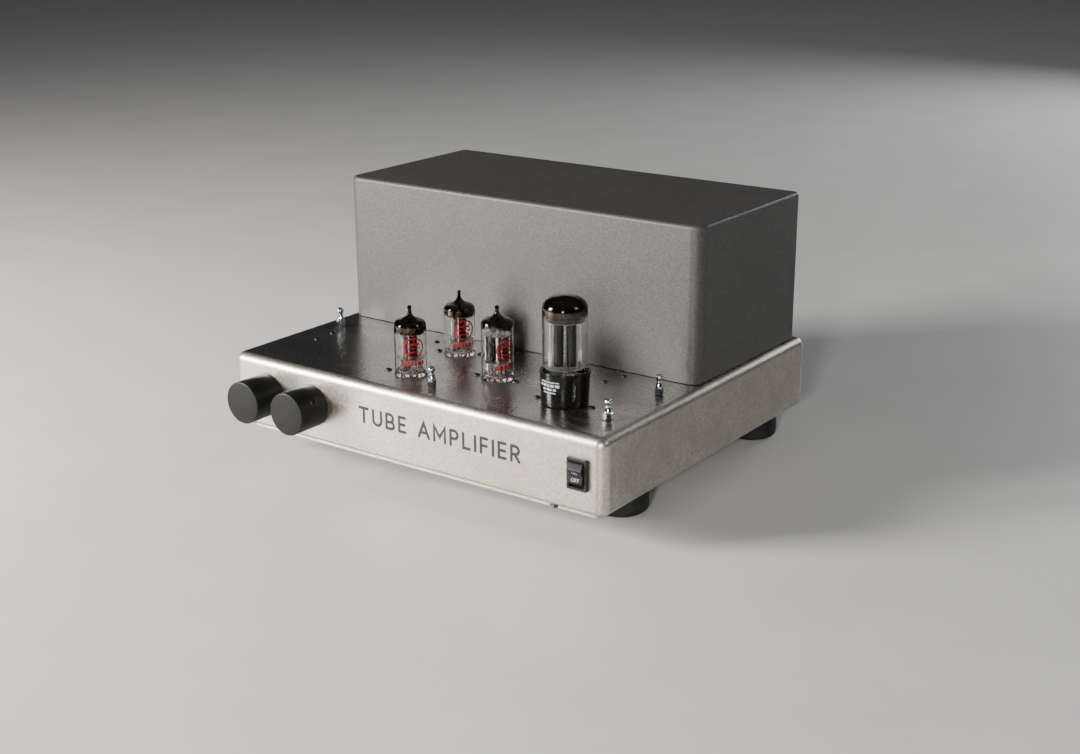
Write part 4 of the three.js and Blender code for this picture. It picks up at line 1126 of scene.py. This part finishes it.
def make_front_label():
    """Generic words where the front carries its maker's lettering, in round-ended strokes of even width."""
    height, pen, words, span, centre_x, above = 10.0, 2.1, "TUBE AMPLIFIER", 133.9, -39.5, 2.4
    letters = sum(CAPITALS[sign][0] for sign in words if sign != " ") * height
    gap = (span - letters) / (len(words) - 0.5)
    shape = Shape()
    x = 0.0
    for sign in words:
        if sign == " ":
            x += gap * 1.5
            continue
        width, strokes = CAPITALS[sign]
        for layer, points in enumerate(strokes):
            line = [(x + px * height, pz * height) for px, pz in points]
            shape.add(pen_line(line, pen, -0.05, 0.06 + 0.01 * layer))
        x += width * height + gap
    piece("front_label", shape, ENGRAVING, at=(centre_x, FRONT, CONTROL_Z + above - height / 2))


# ---- rear connectors ----
JACK_SHELL = [(0, -14), (4.15, -13.8), (4.15, 2.5), (4.15, 13.6), (3.85, 14), (3.2, 14), (3.0, 13.7)]
JACK_SHELL += [(3.0, 4), (0, 4)]
JACK_CORE = [(1.6, 4.2), (2.7, 4.2), (2.7, 12.6), (1.9, 12.9), (1.6, 12.6), (1.6, 4.2)]
JACK_COLLAR = [(4.3, 0.3), (6.4, 0.3), (6.4, 2.0), (6.0, 2.4), (4.3, 2.4), (4.3, 0.3)]
POST_STUD = [(0, -14), (3.1, -14), (3.1, 25.0), (2.8, 25.4), (2.3, 25.4), (2.1, 25.2), (2.1, 11.4)]
POST_STUD += [(0, 11.4)]
POST_COLLAR = [(3.2, 0.3), (7.2, 0.3), (7.2, 3.2), (6.6, 3.9), (3.2, 3.9), (3.2, 0.3)]
CAP = [(3.4, 4.4), (5.6, 4.4), (6.0, 4.8), (6.0, 22.4), (5.2, 24.0), (3.6, 24.3), (3.4, 24.1), (3.4, 4.4)]


def knurled_cap():
    """Screw cap with lengthwise grips."""
    shape = lathe(CAP, 72)
    for point in shape.points:
        if math.hypot(point.x, point.y) > 5.9:
            grip = 1 + 0.03 * math.cos(18 * math.atan2(point.y, point.x))
            point.x, point.y = point.x * grip, point.y * grip
    return shape


def make_rear():
    for side, jack in JACKS.items():
        node, at = f"input_jack_{side}", (jack.x, BACK, CONTROL_Z)
        piece(f"{node}_shell", facing_back(lathe(JACK_SHELL)), GOLD, ROOT, [node], at)
        insulator = facing_back(lathe(JACK_CORE, 40).add(lathe(JACK_COLLAR)))
        look = RED_PLASTIC if side == "right" else BLACK_PLASTIC
        piece(f"{node}_insulator", insulator, look, ROOT, (), at, slot="black_plastic")
    for number, post in POSTS.items():
        node, at = f"binding_post_{number}", (post.x, BACK, CONTROL_Z)
        cap, look = f"{node}_cap", RED_PLASTIC if number % 2 else BLACK_PLASTIC
        piece(f"{node}_stud", facing_back(lathe(POST_STUD)), GOLD, ROOT, [node], at)
        piece(f"{node}_collar", facing_back(lathe(POST_COLLAR)), look, ROOT, (), at)
        piece(f"{cap}_grip", facing_back(knurled_cap()), look, cap, [cap], at, sharp=40)


# ---- putting it together ----
def finish_cad_nodes():
    """Every CAD part gets the look of its slot; those that no piece stands for are seen."""
    slots = {row["node"]: row["material_slot"] for row in frame["record"]["subparts"]}
    for node, made in frame["nodes"].items():
        look = LOOK_FOR[slots[node]]
        if made.material_slots:
            for holder in made.material_slots:
                holder.material = look
        else:
            made.data.materials.append(look)


def make_stage():
    half, thick = 6000, 20
    floor = solid("floor", box((-half, -half, -thick), (half, half, 0)))
    floor.data.materials.append(FLOOR)


def make_world():
    """Soft light from above that falls off towards the horizon."""
    world = bpy.data.worlds.new("studio")
    world.use_nodes = True
    nodes, links = world.node_tree.nodes, world.node_tree.links
    coordinates, split = nodes.new("ShaderNodeTexCoord"), nodes.new("ShaderNodeSeparateXYZ")
    ramp = nodes.new("ShaderNodeValToRGB")
    tones = ((0.4, (0.03, 0.03, 0.032, 1)), (1.0, (0.14, 0.142, 0.147, 1)))
    for stop, (position, colour) in zip(ramp.color_ramp.elements, tones):
        stop.position, stop.color = position, colour
    links.new(coordinates.outputs["Generated"], split.inputs[0])
    links.new(split.outputs["Z"], ramp.inputs[0])
    links.new(ramp.outputs[0], nodes["Background"].inputs["Color"])
    scene.world = world


# Each softbox: azimuth, elevation, distance (m), width and height (m), power (W) and colour.
LIGHTS = {
    "left_softbox": (-42, 17, 1.5, 0.45, 0.45, 68, (1, 0.965, 0.92)),
    "key": (26, 13, 2.0, 0.2, 0.2, 26, (1, 0.96, 0.9)),
    "right_softbox": (100, 32, 2.0, 0.45, 0.6, 4, (0.97, 0.99, 1)),
    "rear_softbox": (172, 15, 2.2, 0.7, 0.4, 13, (0.98, 0.99, 1)),
}
LIGHT_TARGET = (0, 0, 0.08)


def make_lights():
    for name, (azimuth, elevation, distance, width, height, power, colour) in LIGHTS.items():
        data = bpy.data.lights.new(name, "AREA")
        data.shape = "RECTANGLE"
        data.size, data.size_y = width, height
        data.energy = power
        data.color = colour
        light = link(bpy.data.objects.new(name, data))
        light.matrix_world = aimed(azimuth, elevation, distance, LIGHT_TARGET)


finish_cad_nodes()
make_chassis()
make_bottom_cover()
make_transformer_cover()
make_deck_screws()
make_feet()
make_studs()
make_sockets()
make_small_tubes()
make_power_tube()
make_knob("volume_knob", "volume_control", 200)
make_knob("selector_knob", "selector_control", 34)
make_power_switch()
make_front_label()
make_rear()
make_stage()
make_world()
make_lights()
